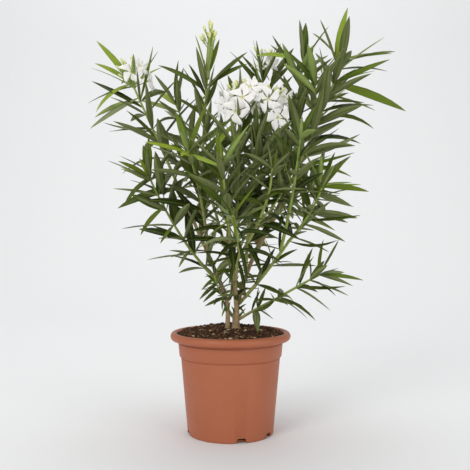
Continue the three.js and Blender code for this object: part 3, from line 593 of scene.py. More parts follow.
headRows = named("name rise reach flowers buds towards seed", [
    ("left_top_shoot", 67, 20, 0, 8, [0.1, -0.3, 0.4], 988),
    ("left_outer_shoot", 12, 32, 4, 5, [0.9, -1, 0], 1667),
    ("middle_top_shoot", 24, 25, 5, 4, [-0.4, -1, -0.3], 2197),
    ("centre_top_shoot", 10, 31, 4, 2, [-0.1, -1, -0.4], 2741),
    ("right_inner_shoot", 33, 22, 2, 5, [0.7, -1, -0.1], 148),
    ("back_shoot", 26, 24, 4, 3, [0, 1, 0.4], 8),
    ("right_back_shoot", 37, 26, 3, 3, [0, -0.8, 0.9], 1167),
])
forks = {
    # shoots with a side twig, and how long it is
    "middle_top_shoot": 80, "right_inner_shoot": 90, "front_right_shoot": 75, "middle_front_shoot": 70,
    "left_front_shoot": 80, "right_front_shoot": 75, "left_back_shoot": 90, "back_shoot": 90,
    "right_back_shoot": 85, "back_low_shoot": 70,
}


# The rule of growth, the same as the solids' own: whorls of three leaves on bent stems, each leaf
# kept clear of all that grew before it

limbSides, limbSteps, shootSides, shootSteps, twigSteps = 6, 6, 3, 6, 3
leafRule = {
    "perWhorl": 3, "step": 60, "bend": 0.45, "rings": [[0.28, 0.88], [0.64, 0.84]], "middle": 0.46,
    "fold": 0.12, "keel": [0.5, 0.012], "width": [1.6, 0.118], "topShare": 0.985, "sunk": 0.2,
    "leastSpread": 6, "leastDroop": -0.2, "facesUp": 0.8,
    # how size, droop and gap change up a stem; where whorls end; the tuft's turn, size and spread
    "size": (0.84, 0.2, 1.15), "droop": 1.25, "topDroop": 0.3, "gap": (1.1, 0.45), "end": 3,
    "tuft": (30, 0.48, 10),
}
leafSwings = {"turn": 11, "spread": 11, "length": 0.14, "droop": 0.7, "twist": 38}
tries = [(0, 0), (16, -4), (-16, -4), (28, 8), (-28, -12)]
forkRule = {"at": 0.35, "lean": 34, "rise": 0.7, "thin": 0.8, "clear": 0.1}
forkSwings = {"at": 0.05, "turn": 25, "lean": 8, "length": 0.15}
headSwings = {"turn": 20, "lean": 8}
headStalk = {"from": 0.97, "tip": 0.8, "sides": 3, "steps": 2}
headRule = {
    # how far they lean and reach, how much they turn to the light, and where they leave the stalk; a
    # pair is the least and what comes on top, or where they leave it first and how much lower last
    "flowers": {"lean": (34, 38), "reach": (0.85, 0.3), "aim": 0.35, "leave": (0.92, 0.7)},
    "buds": {"lean": (6, 34), "reach": (0.45, 0.5), "aim": 0.1, "leave": (0.98, 0.25)},
}
flower = {"radius": 19.5, "notch": 9, "cup": 2.5, "tube": 8, "points": 5, "pedicel": [0.8, 0.7],
          "facing": 0.8}
bud = {"radius": 2.3, "length": 15, "stalk": (0.7, 0.8), "widest": 0.6}
goldenTurn = 137.5
guardSpace, stemSpace, guardRoot = 0.45, 0.6, (0.12, 0.4)


def vec(*values):
    return np.array(values, float)


up = vec(0, 0, 1)


def unit(v):
    return v / math.sqrt(float(v @ v))


def flatTo(v, axis):
    return v - axis * float(v @ axis)


class Dice:
    def __init__(self, seed):
        self.state = seed & 0xFFFFFFFF
        self.roll()

    def roll(self):
        self.state = (self.state * 1664525 + 1013904223) & 0xFFFFFFFF
        return self.state / 4294967296

    def swing(self, reach):
        return (self.roll() * 2 - 1) * reach


class Path:
    def __init__(self, foot, elbow, tip):
        self.foot, self.elbow, self.tip = foot, elbow, tip

    def at(self, t):
        return self.foot * (1 - t) ** 2 + self.elbow * (2 * t * (1 - t)) + self.tip * (t * t)

    def heading(self, t):
        return unit((self.elbow - self.foot) * (1 - t) + (self.tip - self.elbow) * t)


class Limb(Path):
    def __init__(self, foot, elbow, tip, thick, sides, steps):
        super().__init__(foot, elbow, tip)
        self.thick, self.sides, self.steps = thick, sides, steps
        self.length = sum(math.dist(self.at(i / 12), self.at((i - 1) / 12)) for i in range(1, 13))

    def radius(self, t):
        return self.thick[0] + (self.thick[1] - self.thick[0]) * t


def squareTo(heading):
    reference = vec(0, 1, 0) if abs(heading[0]) > 0.8 else vec(1, 0, 0)
    first = unit(flatTo(reference, heading))
    return first, np.cross(heading, first)


def outward(heading, turn):
    first, second = squareTo(heading)
    return first * math.cos(math.radians(turn)) + second * math.sin(math.radians(turn))


def leaning(heading, side, angle):
    return heading * math.cos(math.radians(angle)) + side * math.sin(math.radians(angle))


def ringSkin(rings, root=None, tip=None):
    # A closed skin over rings of points, each end flat or drawn to a point.
    count = len(rings[0])
    points = [p for ring in rings for p in ring]
    faces = []
    for i in range(len(rings) - 1):
        for j in range(count):
            a, b = i * count + j, i * count + (j + 1) % count
            faces += [(a, b, b + count), (a, b + count, a + count)]
    last = (len(rings) - 1) * count
    if root is None:
        faces += [(0, j + 1, j) for j in range(1, count - 1)]
    else:
        points.append(root)
        faces += [(len(points) - 1, (j + 1) % count, j) for j in range(count)]
    if tip is None:
        faces += [(last, last + j, last + j + 1) for j in range(1, count - 1)]
    else:
        points.append(tip)
        faces += [(last + j, last + (j + 1) % count, len(points) - 1) for j in range(count)]
    return np.array(points), np.array(faces)


def roundRing(centre, heading, radius, sides):
    first, second = squareTo(heading)
    turns = [2 * math.pi * j / sides for j in range(sides)]
    return [centre + first * (radius * math.cos(a)) + second * (radius * math.sin(a)) for a in turns]


def limbSkin(limb):
    shares = [i / limb.steps for i in range(limb.steps + 1)]
    return ringSkin([roundRing(limb.at(t), limb.heading(t), limb.radius(t) + stemSpace, limb.sides)
                     for t in shares])


def leafNormal(leaf, t):
    return unit(np.cross(leaf["side"], leaf["path"].heading(t)))


def leafRing(leaf, t, share):
    middle, normal, half = leaf["path"].at(t), leafNormal(leaf, t), leaf["width"] / 2
    rim = middle + normal * (leafRule["fold"] * half * share + guardSpace)
    least, more = leafRule["keel"]
    keel = middle - normal * (least + more * leaf["length"] * share + guardSpace)
    reach = half * share + guardSpace
    return [rim + leaf["side"] * reach, keel, rim - leaf["side"] * reach]


def leafGuards(leaf):
    foot, low, high = [leafRing(leaf, t, share) for t, share in (guardRoot, *leafRule["rings"])]
    tip = leaf["path"].tip + leaf["path"].heading(1) * guardSpace
    keel = (low[1] + high[1]) * 0.5
    under = leaf["path"].foot - leafNormal(leaf, 0) * guardSpace
    heel = under + (keel - under) * (guardRoot[0] / leafRule["middle"])
    points = [foot[0], low[0], high[0], tip, high[2], low[2], foot[2], heel, keel]
    faces = [(6, 0, 1), (6, 1, 5), (5, 1, 2), (5, 2, 4), (4, 2, 3), (0, 6, 7), (8, 0, 7), (6, 8, 7)]
    faces += [(j + 1, j, 8) for j in range(6)]
    rootPart = ringSkin([[foot[0], heel, foot[2]]], leaf["path"].foot)
    return Guard((np.array(points), np.array(faces))), Guard(rootPart)


def flowerSkin(centre, axis, spin):
    ring = []
    for j in range(2 * flower["points"]):
        isTip = j % 2 == 0
        out = outward(axis, spin + (180 / flower["points"]) * j)
        rim = centre + out * ((flower["radius"] if isTip else flower["notch"]) + stemSpace)
        ring.append(rim + axis * (flower["cup"] if isTip else 0))
    points = [centre - axis * (flower["tube"] + stemSpace), *ring, centre + axis * (1 + stemSpace)]
    faces = []
    for j in range(len(ring)):
        following = (j + 1) % len(ring) + 1
        faces += [(0, following, j + 1), (len(points) - 1, j + 1, following)]
    return np.array(points), np.array(faces)


def budSkin(foot, axis, reach):
    low, neck = bud["stalk"]
    stations = [(0, low), (reach, neck), (reach + bud["length"] * bud["widest"], bud["radius"])]
    rings = [roundRing(foot + axis * along, axis, radius + stemSpace, 3) for along, radius in stations]
    return ringSkin(rings, None, foot + axis * (reach + bud["length"] + stemSpace))


class Guard:
    # A skin's faces and edges, with its box, for the crossing test.
    def __init__(self, skin):
        points, faces = skin
        self.low, self.high = points.min(0), points.max(0)
        corners = points[faces]
        self.corner = corners[:, 0]
        self.first, self.second = corners[:, 1] - self.corner, corners[:, 2] - self.corner
        sides = ((face[k], face[(k + 1) % 3]) for face in faces for k in range(3))
        pairs = np.array(sorted({(min(a, b), max(a, b)) for a, b in sides}))
        self.start, self.run = points[pairs[:, 0]], points[pairs[:, 1]] - points[pairs[:, 0]]


def edgesMeet(a, b):
    # Whether an edge of one skin goes through a face of the other.
    h = np.cross(a.run[:, None], b.second[None])
    size = (b.first[None] * h).sum(2)
    solid = np.abs(size) > 1e-9
    size = np.where(solid, size, 1)
    s = a.start[:, None] - b.corner[None]
    q = np.cross(s, b.first[None])
    u = (s * h).sum(2) / size
    v = (a.run[:, None] * q).sum(2) / size
    t = (b.second[None] * q).sum(2) / size
    return bool((solid & (u >= 0) & (u <= 1) & (v >= 0) & (u + v <= 1) & (t >= 0) & (t <= 1)).any())


def skinsMeet(a, b):
    if (a.low > b.high).any() or (b.low > a.high).any():
        return False
    return edgesMeet(a, b) or edgesMeet(b, a)


class Space:
    def __init__(self, cell):
        self.cell, self.cells, self.items = cell, {}, []

    def cellsOf(self, guard):
        low, high = (np.floor(corner / self.cell).astype(int) for corner in (guard.low, guard.high))
        return [(i, j, k) for i in range(low[0], high[0] + 1)
                for j in range(low[1], high[1] + 1) for k in range(low[2], high[2] + 1)]

    def take(self, guard, owner):
        self.items.append((guard, owner))
        for cell in self.cellsOf(guard):
            self.cells.setdefault(cell, []).append(len(self.items) - 1)

    def isFree(self, guard, *owners):
        near = {n for cell in self.cellsOf(guard) for n in self.cells.get(cell, ())}
        return not any(self.items[n][1] not in owners and skinsMeet(guard, self.items[n][0]) for n in near)


space = Space(40)
grown, heads, shoots = {}, {}, {}


def crownLimb():
    foot = vec(crown["x"], 0, soilSizes["middle"] + clearance)
    rise = up * crown["height"]
    return Limb(foot, foot + rise / 2, foot + rise, [crown["radius"]] * 2, crown["sides"], 1)


def elbowOf(foot, row):
    return vec(*row["through"]) * 2 - foot * 0.5 - vec(*row["tip"]) * 0.5


def reachBack(row, point, away, sides):
    start = unit(elbowOf(point, row) - point)
    return max(float((point - p) @ away) for p in roundRing(point, start, row["thick"][0], sides))


def footOf(row, sides):
    # Where a limb starts: a seat's width clear of the stem or crown that carries it.
    if "on" not in row:
        side = vec(math.cos(math.radians(row["turn"])), math.sin(math.radians(row["turn"])), 0)
        point = grown["root_crown"].tip + side * stemCircle
        return point + up * (seat + reachBack(row, point, up, sides))
    parent, at = grown[row["on"]], row["at"]
    point, heading = parent.at(at), parent.heading(at)
    if at >= 1:
        return point + heading * (seat + reachBack(row, point, heading, sides))
    side = unit(flatTo(vec(*row["through"]) - point, heading))
    surface = roundRing(point, heading, parent.radius(at), parent.sides)
    reach = max(float((p - point) @ side) for p in surface)
    return point + side * (reach + seat + reachBack(row, point, side, sides))


def growLimb(row, sides, steps):
    # A stem or shoot from its row of the table, by its name from here on.
    foot = footOf(row, sides)
    limb = Limb(foot, elbowOf(foot, row), vec(*row["tip"]), row["thick"], sides, steps)
    grown[row["name"]] = limb
    space.take(Guard(limbSkin(limb)), row["name"])


def growTwig(name, foot, start, length, rise, thick, clear):
    # A twig that bends up, or None where it would cross anything beyond its clear share.
    elbow = foot + start * (length / 2)
    tip = elbow + unit(start + up * rise) * (length / 2)
    twig = Limb(foot, elbow, tip, thick, shootSides, twigSteps)
    clearOfStem = Limb(twig.at(clear), elbow, tip, thick, shootSides, twigSteps)
    if not space.isFree(Guard(limbSkin(clearOfStem))):
        return None
    space.take(Guard(limbSkin(twig)), name)
    return twig


def growFork(mass, stem, dice):
    # The side twig of a shoot that has one, as a list.
    name = mass["name"]
    if name not in forks:
        return []
    t = forkRule["at"] + dice.swing(forkSwings["at"])
    side = outward(stem.heading(t), mass["turn"] + dice.swing(forkSwings["turn"]))
    start = leaning(stem.heading(t), side, forkRule["lean"] + dice.swing(forkSwings["lean"]))
    length = forks[name] * (1 + dice.swing(forkSwings["length"]))
    thick = [stem.radius(t) * forkRule["thin"], 1]
    twig = growTwig(name, stem.at(t), start, length, forkRule["rise"], thick, forkRule["clear"])
    return [twig] if twig else []


def flowerAt(start, elbow, centre, face, spin):
    # An open flower on its own thin stalk, and the room that they take.
    end = centre - face * (flower["tube"] * 0.5)
    item = {"centre": centre, "face": face, "spin": spin,
            "pedicel": Limb(start, elbow, end, flower["pedicel"], 3, 1)}
    return item, [flowerSkin(centre, face, spin), limbSkin(item["pedicel"])]


def growHead(row):
    # A head of open flowers and buds round the stalk at a shoot's tip.
    name, dice, aim = row["name"], Dice(row["seed"]), vec(*row["towards"])
    stem = grown[name]
    heading, foot = stem.heading(1), stem.at(headStalk["from"])
    stalk = Limb(foot, foot + heading * (row["rise"] / 2), foot + heading * row["rise"],
                 [stem.thick[1], headStalk["tip"]], headStalk["sides"], headStalk["steps"])
    head = {"stalk": stalk, "flowers": [], "buds": []}
    space.take(Guard(limbSkin(stalk)), name)
    for kind, rule in headRule.items():
        for i in range(row[kind]):
            number = i if kind == "flowers" else i + row["flowers"]
            turn = goldenTurn * number + dice.swing(headSwings["turn"])
            share = (i + 0.5) / row[kind]
            lean = rule["lean"][0] + rule["lean"][1] * share + dice.swing(headSwings["lean"])
            length = row["reach"] * (rule["reach"][0] + rule["reach"][1] * dice.roll())
            spin = 360 / flower["points"] * dice.roll()
            axis = unit(leaning(heading, outward(heading, turn), lean) + aim * rule["aim"])
            start = stalk.at(rule["leave"][0] - rule["leave"][1] * share)
            if kind == "flowers":
                elbow, centre = start + axis * (length / 2), start + axis * length
                item, skins = flowerAt(start, elbow, centre, unit(axis + aim * flower["facing"]), spin)
            else:
                item, skins = {"foot": start, "axis": axis, "reach": length}, [budSkin(start, axis, length)]
            guards = [Guard(skin) for skin in skins]
            if all(space.isFree(guard, name) for guard in guards):
                for guard in guards:
                    space.take(guard, name)
                head[kind].append(item)
    return head


def leafWidth(length):
    return leafRule["width"][0] + leafRule["width"][1] * length


def growLeaf(name, limb, share, fullLength, place, dice):
    # One leaf, or none where every try crosses something. The place is turn, size, spread and droop.
    turn, size, spread, droop = place
    rolls = {key: dice.swing(1) for key in ("turn", "spread", "length", "droop", "twist")}
    swing = {key: leafSwings[key] * roll for key, roll in rolls.items()}
    heading = limb.heading(share)
    root = limb.at(share) - heading * leafRule["sunk"]
    length = fullLength * size * (1 + swing["length"])
    droop = max(leafRule["leastDroop"], droop * (1 + swing["droop"]))
    twist = math.radians(swing["twist"])
    for turnChange, spreadChange in tries:
        side = outward(heading, turn + swing["turn"] + turnChange)
        lean = max(leafRule["leastSpread"], spread + swing["spread"] + spreadChange)
        start = leaning(heading, side, lean)
        face = unit(flatTo(heading, start)) + flatTo(up, start) * leafRule["facesUp"]
        face = unit(flatTo(face, start))
        face = face * math.cos(twist) + np.cross(start, face) * math.sin(twist)
        elbow = root + start * (length * leafRule["bend"])
        tip = elbow + unit(start - up * droop) * (length * (1 - leafRule["bend"]))
        leaf = {"path": Path(root, elbow, tip), "side": np.cross(start, face), "width": leafWidth(length),
                "length": length, "share": share, "size": size}
        blade, rootPart = leafGuards(leaf)
        if space.isFree(blade, name) and space.isFree(rootPart, name, name + " leaves"):
            space.take(blade, name + " leaves")
            space.take(rootPart, name)
            return [leaf]
    return []


def growLeaves(mass, limb, bare, dice, isTwig=True):
    # Whorls of leaves up to the tip, and there a tuft of small ones unless the stem bears a head.
    leaves, whorl, count = [], 0, leafRule["perWhorl"]
    (low, high), (least, more, peak) = mass["spread"], leafRule["size"]
    s = bare * limb.length
    while s < limb.length - leafRule["end"]:
        share = s / limb.length
        size = least + more * math.sin(math.pi * min(1, share * peak))
        for j in range(count):
            turn = mass["turn"] + leafRule["step"] * whorl + 360 / count * j
            place = (turn, size, low + (high - low) * share, mass["droop"] * (leafRule["droop"] - share))
            leaves += growLeaf(mass["name"], limb, share, mass["leaf"], place, dice)
        s += mass["gap"] * (leafRule["gap"][0] - leafRule["gap"][1] * share)
        whorl += 1
    spread, size = mass["top"]
    turn = mass["turn"] + leafRule["step"] * whorl
    droop = mass["droop"] * leafRule["topDroop"]
    places = [(turn + 360 / count * j, size, spread, droop) for j in range(count)]
    if isTwig or mass["name"] not in heads:
        aside, size, spread = leafRule["tuft"]
        places += [(turn + aside + 180 * j, size, spread, 0) for j in range(2)]
    for place in places:
        leaves += growLeaf(mass["name"], limb, leafRule["topShare"], mass["leaf"], place, dice)
    return leaves


# Finer growth, on from the same rule

finer = {
    "from": 0.3, "to": 0.9, "turn": 70, "length": 56, "lean": 38, "rise": 0.6, "thick": [0.9, 0.6],
    "clear": 0.15, "leaf": 0.95, "gap": 26, "top": [34, 0.8], "past": 4, "seed": 5000,
}
finerSwings = {"turn": 30, "length": 0.3}
twigBare = 0.3
moreBuds = {
    # how many young buds, how high their stalk stands and how far they reach
    "left_top_shoot": (6, 58, 16), "left_outer_shoot": (5, 16, 22), "middle_top_shoot": (10, 34, 20),
    "centre_top_shoot": (4, 16, 20),
}
budSeed = 31
moreFlowers = [
    # open flowers that hang below their head: shoot, centre, the way they face, and turn
    ("centre_top_shoot", [72, -50, 490], [0.25, -0.95, -0.1], 20),
    ("middle_top_shoot", [8, -64, 497], [-0.2, -0.97, -0.1], 50),
]
hangFrom, hangRise = 0.1, 4
stemFeet = {
    # main stem: how far out it leaves the soil, where it joins the stem, and its radius low and high
    "left_stem": (12.5, 0.3, 4, 3.1), "middle_stem": (4, 0.05, 5.4, 4.1),
    "right_stem": (4.4, 0.05, 5.6, 4.2),
}
footSunk, footRise = 3.5, (15, 30)
lowLeaves = [
    # small leaves along the stems: stem, first and last share, gap, length, spread, droop, first turn
    ("left_stem foot", 0.3, 1, 11, 27, 26, -0.1, 300), ("right_stem foot", 0.35, 1, 12, 25, 32, -0.1, 200),
    ("left_stem", 0.16, 0.62, 21, 30, 66, 0.2, 150), ("left_stem", 0.62, 1, 24, 44, 62, 0.35, 20),
    ("middle_stem", 0.3, 1, 22, 36, 64, 0.3, 60), ("right_stem", 0.3, 1, 28, 38, 62, 0.3, 10),
    ("outer_right_stem", 0.3, 1, 40, 40, 56, 0.25, 75), ("back_stem", 0.35, 1, 28, 42, 62, 0.3, 30),
    ("low_right_branch", 0.5, 1, 40, 40, 50, 0.25, 40),
]
lowRule = {"seed": 900, "apart": 7, "turn": 25, "size": 0.3, "gap": 0.3, "lowest": 174}
freeLeaves = [
    # leaves that stand free, by stem: share of the stem, length, the way they point in the front view
    # (0 right, 90 up), lean to the front, bow, turn of the blade out of the front view, and tone
    ("low_right_branch", [(0.33, 37, 68, 10, 1, 45, "Deep"), (0.5, 34, 86, -5, 1, 62, "Dark"),
     (1, 34, 181, 15, 1, 40, "Dark"), (1, 40, 207, 10, -4, 35, "Dark")]),
    ("low_right_shoot", [(0.08, 66, -33, 5, 4, 62, "Dark"), (0.5, 62, 71, 5, 1, 42, "Dark"),
     (0.76, 40, 96, -10, 2, 60, "Dark"), (0.96, 56, 82, 0, 1, 50, "Mid"), (0.5, 70, 0, 10, -4, 55, "Dark"),
     (0.75, 46, -32, 5, 3, 60, "Dark"), (1, 66, -7, 5, 2, 45, "Mid")]),
    ("outer_right_stem", [(0.42, 52, 66, 12, 2, 30, "Deep"), (0.63, 46, 31, 8, 2, 35, "Dark"),
     (0.6, 74, 0, -8, 1, 62, "Pale"), (0.8, 50, 87, 0, 1, 50, "Deep"), (1, 74, 1, 0, -9, 62, "Dark")]),
    ("right_side_shoot", [(0.14, 74, 43, 10, 2, 38, "Pale"), (0.42, 84, 5, 0, -3, 64, "Dark"),
     (0.4, 46, 99, 15, 1, 40, "Dark")]),
    ("left_low_shoot", [(0.32, 40, 170, 5, 1, 130, "Pale"), (0.38, 34, 238, 8, 1, 155, "Pale"),
     (0.62, 36, 234, 8, 1, 8, "Mid"), (0.77, 56, 231, 10, 4, 6, "Mid"),
     (0.48, 54, 156, -5, 1, 55, "Dark")]),
    ("left_stem", [(0.5, 34, 222, 8, 1, 15, "Mid"), (0.43, 44, 222, 14, 1, 12, "Dark"),
     (0.36, 40, 221, 10, 1, 14, "Dark"), (0.2, 38, 202, 12, 1, 12, "Dark"),
     (0.5, 24, 32, 10, 1, 40, "Mid")]),
    ("middle_stem", [(0.9, 30, 263, 22, 1, 20, "Dark")]),
    ("left_stem foot", [(0.9, 28, 262, 18, 1, 30, "Mid"), (0.6, 24, 118, 15, 1, 32, "Dark"),
     (0.3, 26, 80, 16, 1, 34, "Mid")]),
    ("middle_stem foot", [(0.5, 24, 112, 16, 1, 32, "Dark")]),
    ("right_stem foot", [(0.75, 22, 40, 12, 1, 36, "Dark")]),
    ("left_stem", [(0.12, 26, 244, 16, 1, 30, "Mid")]),
    ("middle_stem", [(0.98, 42, 195, 5, 1, 50, "Dark")]),
    ("right_stem", [(0.08, 20, -52, 12, 1, 40, "Dark"), (0.4, 26, 4, 8, 1, 50, "Mid"),
     (0.62, 38, 4, 8, 1, 50, "Dark")]),
    ("right_outer_shoot", [(0.88, 121, -23, 8, 4, 12, "Mid"), (0.7, 88, -10, 0, 12, 45, "Dark"),
     (0.58, 54, 26, -5, -4, 66, "Dark"), (0.5, 98, 22, 5, -4, 50, "Pale"),
     (0.45, 92, 14, 8, -2, 55, "Mid")]),
    ("right_top_shoot", [(0.98, 80, 174, 10, 7, 30, "Fresh")]),
    ("left_outer_shoot", [(1, 88, 130, 5, 2, 30, "Fresh"), (1, 68, 152, 5, 3, 32, "Fresh"),
     (0.86, 96, 152, -5, 1, 42, "Deep"), (0.92, 92, 215, 10, 2, 36, "Pale")]),
    ("left_top_shoot", [(0.9, 86, 152, 5, 4, 40, "Dark"), (0.9, 90, 43, 5, 3, 42, "Dark")]),
    ("left_back_shoot", [(0.97, 84, 88, 5, 3, 38, "Dark")]),
    ("left_top_shoot", [(0.87, 58, 118, 8, 1, 30, "Deep"), (0.75, 62, 147, 5, 3, 42, "Dark")]),
    ("right_inner_shoot", [(0.96, 60, 128, 12, 2, 40, "Dark")]),
    ("right_top_shoot", [(0.85, 98, 117, -5, 1, 48, "Dark")]),
    ("right_outer_shoot", [(1, 78, 7, 0, 2, 48, "Mid"), (0.88, 94, 22, 8, 1, 30, "Mid"),
     (0.95, 80, 0, -8, 4, 58, "Dark"), (0.82, 80, -16, -8, 2, 52, "Mid"), (0.79, 60, -3, 5, 1, 48, "Dark"),
     (0.93, 102, 82, 8, 5, 4, "Fresh")]),
    ("left_outer_shoot", [(0.9, 90, 77, 0, -2, 52, "Mid"), (1, 74, 220, 8, 8, 42, "Fresh"),
     (0.72, 84, 169, -5, -4, 60, "Pale"), (0.66, 70, 136, 6, 2, 48, "Dark")]),
    ("left_low_shoot", [(1, 52, 153, 5, 2, 12, "Mid")]),
    ("right_side_shoot", [(1, 70, -6, 5, 3, 15, "Mid"), (1, 56, 70, 5, 1, 30, "Dark"),
     (0.97, 58, 50, 8, 1, 32, "Mid")]),
    ("left_low_shoot", [(1, 62, 91, 5, 1, 28, "Mid"), (1, 58, 230, 8, 3, 32, "Dark")]),
    ("centre_top_shoot", [(1, 62, 52, 10, 1, 40, "Dark")]),
    ("right_inner_shoot", [(0.9, 68, 130, 10, 3, 18, "Dark")]),
    ("left_top_shoot", [(0.93, 74, 27, 8, 3, 28, "Dark")]),
]
freeWidth, bowRise = 0.88, 2
hangingLeaf = {"on": "low_right_branch", "at": 0.44, "elbow": [40, -30, 192], "tip": [41, -60, 165.5],
               "width": 9, "length": 52, "share": 0.4}


def placeFlower(name, centre, face, spin):
    # An open flower at a place of its own, on a long stalk from its head.
    centre, face = vec(*centre), unit(vec(*face))
    start, end = heads[name]["stalk"].at(hangFrom), centre - face * (flower["tube"] * 0.5)
    item, skins = flowerAt(start, (start + end) / 2 + up * hangRise, centre, face, spin)
    space.take(Guard(skins[0]), name)
    heads[name]["flowers"].append(item)


def growFoot(row):
    # A main stem's foot, from under the soil up to where it joins the stem.
    limb, turn = grown[row["name"]], math.radians(row["turn"])
    out, join, low, high = stemFeet[row["name"]]
    foot = vec(crown["x"] + out * math.cos(turn), out * math.sin(turn), soilSizes["middle"] - footSunk)
    top = limb.at(join)
    elbow = top - limb.heading(join) * (footRise[0] + footRise[1] * join)
    return Limb(foot, elbow, top, [low, high], limbSides, limbSteps)


def growMoreBuds(row):
    # Young buds among those of the solid's head.
    count, rise, reach = moreBuds[row["name"]]
    young = {**row, "flowers": 0, "buds": count, "rise": rise, "reach": reach, "seed": count * budSeed}
    heads[row["name"]]["buds"] += growHead(young)["buds"]


def growFinerTwigs(mass, stem, dice):
    # Short side twigs that the solids leave out, kept inside the room of the solid they belong to.
    low, high = (np.array(corner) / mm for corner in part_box(mass["name"]))
    young = {**mass, "leaf": mass["leaf"] * finer["leaf"], "gap": finer["gap"], "top": finer["top"]}
    twigs, leaves, past = [], [], finer["past"]
    for k in range(mass["twigs"]):
        share = finer["from"] + (finer["to"] - finer["from"]) * (k + dice.roll()) / mass["twigs"]
        heading = stem.heading(share)
        turn = mass["turn"] + finer["turn"] + goldenTurn * k + dice.swing(finerSwings["turn"])
        start = leaning(heading, outward(heading, turn), finer["lean"])
        length = finer["length"] * (1 + dice.swing(finerSwings["length"]))
        twig = growTwig(mass["name"], stem.at(share), start, length, finer["rise"], finer["thick"],
                        finer["clear"])
        if twig is None:
            continue
        twigs.append(twig)
        for leaf in growLeaves(young, twig, twigBare, dice):
            tip = leaf["path"].tip
            if (tip > low - past).all() and (tip < high + past).all():
                leaves.append(leaf)
    return twigs, leaves


def placeLeaf(name, share, length, way, lean, bow, turn, tone):
    # A leaf whose direction is given as the front view shows it.
    way, lean, turn = (math.radians(value) for value in (way, lean, turn))
    heading = vec(math.cos(way) * math.cos(lean), -math.sin(lean), math.sin(way) * math.cos(lean))
    sign = 1 if math.cos(way) >= 0 else -1
    above = vec(-math.sin(way), 0, math.cos(way)) * sign
    root = grown[name].at(share)
    path = Path(root, root + heading * (length * 0.5) + above * (bow * bowRise), root + heading * length)
    front = unit(flatTo(vec(0, -1, 0), heading))
    normal = front * math.cos(turn) - np.cross(heading, front) * (math.sin(turn) * sign)
    return {"path": path, "side": np.cross(heading, normal), "width": leafWidth(length) * freeWidth,
            "length": length, "share": share, "size": 1, "tone": tone}


def hangLeaf(on, at, elbow, tip, **looks):
    # The one leaf that hangs down to the soil.
    path = Path(grown[on].at(at), vec(*elbow), vec(*tip))
    return {"path": path, "side": vec(1, 0, 0), "size": 1, **looks}


def growLowLeaves():
    # Small leaves in loose whorls along the stems, then the free leaves and the one that hangs.
    leaves, count = [], leafRule["perWhorl"]
    for i, (name, first, last, gap, length, spread, droop, firstTurn) in enumerate(lowLeaves):
        limb, dice = grown[name], Dice(lowRule["seed"] + lowRule["apart"] * i)
        whorl, s = 0, first * limb.length
        while s < last * limb.length:
            for j in range(count):
                turn = firstTurn + leafRule["step"] * whorl + 360 / count * j + dice.swing(lowRule["turn"])
                place = (turn, 1 + dice.swing(lowRule["size"]), spread, droop)
                leaves += [leaf for leaf in growLeaf(name, limb, s / limb.length, length, place, dice)
                           if leaf["path"].tip[2] > lowRule["lowest"]]
            s += gap * (1 + dice.swing(lowRule["gap"]))
            whorl += 1
    leaves += [placeLeaf(name, *row) for name, rows in freeLeaves for row in rows]
    return [*leaves, hangLeaf(**hangingLeaf)]


grown["root_crown"] = crownLimb()
for row in limbs:
    growLimb(row, limbSides, limbSteps)
for mass in masses:
    growLimb(mass, shootSides, shootSteps)
for row in headRows:
    heads[row["name"]] = growHead(row)
for mass in masses:
    dice, stem = Dice(mass["seed"]), grown[mass["name"]]
    twigs = growFork(mass, stem, dice)
    leaves = growLeaves(mass, stem, mass["bare"], dice, isTwig=False)
    for twig in twigs:
        leaves += growLeaves(mass, twig, twigBare, dice)
    shoots[mass["name"]] = {"twigs": twigs, "leaves": leaves}
solidLeaves = sum(len(shoot["leaves"]) for shoot in shoots.values())
for row in headRows:
    if row["name"] in moreBuds:
        growMoreBuds(row)
for row in moreFlowers:
    placeFlower(*row)
for row in limbs:
    if row["name"] in stemFeet:
        grown[row["name"] + " foot"] = growFoot(row)
lowGrowth = growLowLeaves()
for mass in masses:
    shoot, dice = shoots[mass["name"]], Dice(mass["seed"] + finer["seed"])
    for stem in [grown[mass["name"]], *shoot["twigs"]]:
        twigs, leaves = growFinerTwigs(mass, stem, dice)
        shoot["twigs"] += twigs
        shoot["leaves"] += leaves
allLeaves = sum(len(shoot["leaves"]) for shoot in shoots.values()) + len(lowGrowth)
print(f"grown: {solidLeaves} leaves as in the solids, {allLeaves} in all, {len(lowGrowth)} on the stems")


# Joined pieces

class Heap:
    # Points, faces and the material of each face of one joined piece, gathered in mm.
    def __init__(self):
        self.points, self.faces, self.kinds, self.ages = [], [], [], []

    def add(self, points, faces, kinds, ages=()):
        start = len(self.points)
        self.points.extend(points)
        self.faces.extend([tuple(start + v for v in face) for face in faces])
        self.kinds.extend(kinds)
        self.ages.extend(ages)

    def make(self, name, materialNames):
        piece = makeMesh(name, np.array(self.points) * mm, self.faces, materialNames, self.kinds)
        if self.ages:
            piece.data.attributes.new("age", "FLOAT", "POINT").data.foreach_set("value", self.ages)
        return piece


# Stems

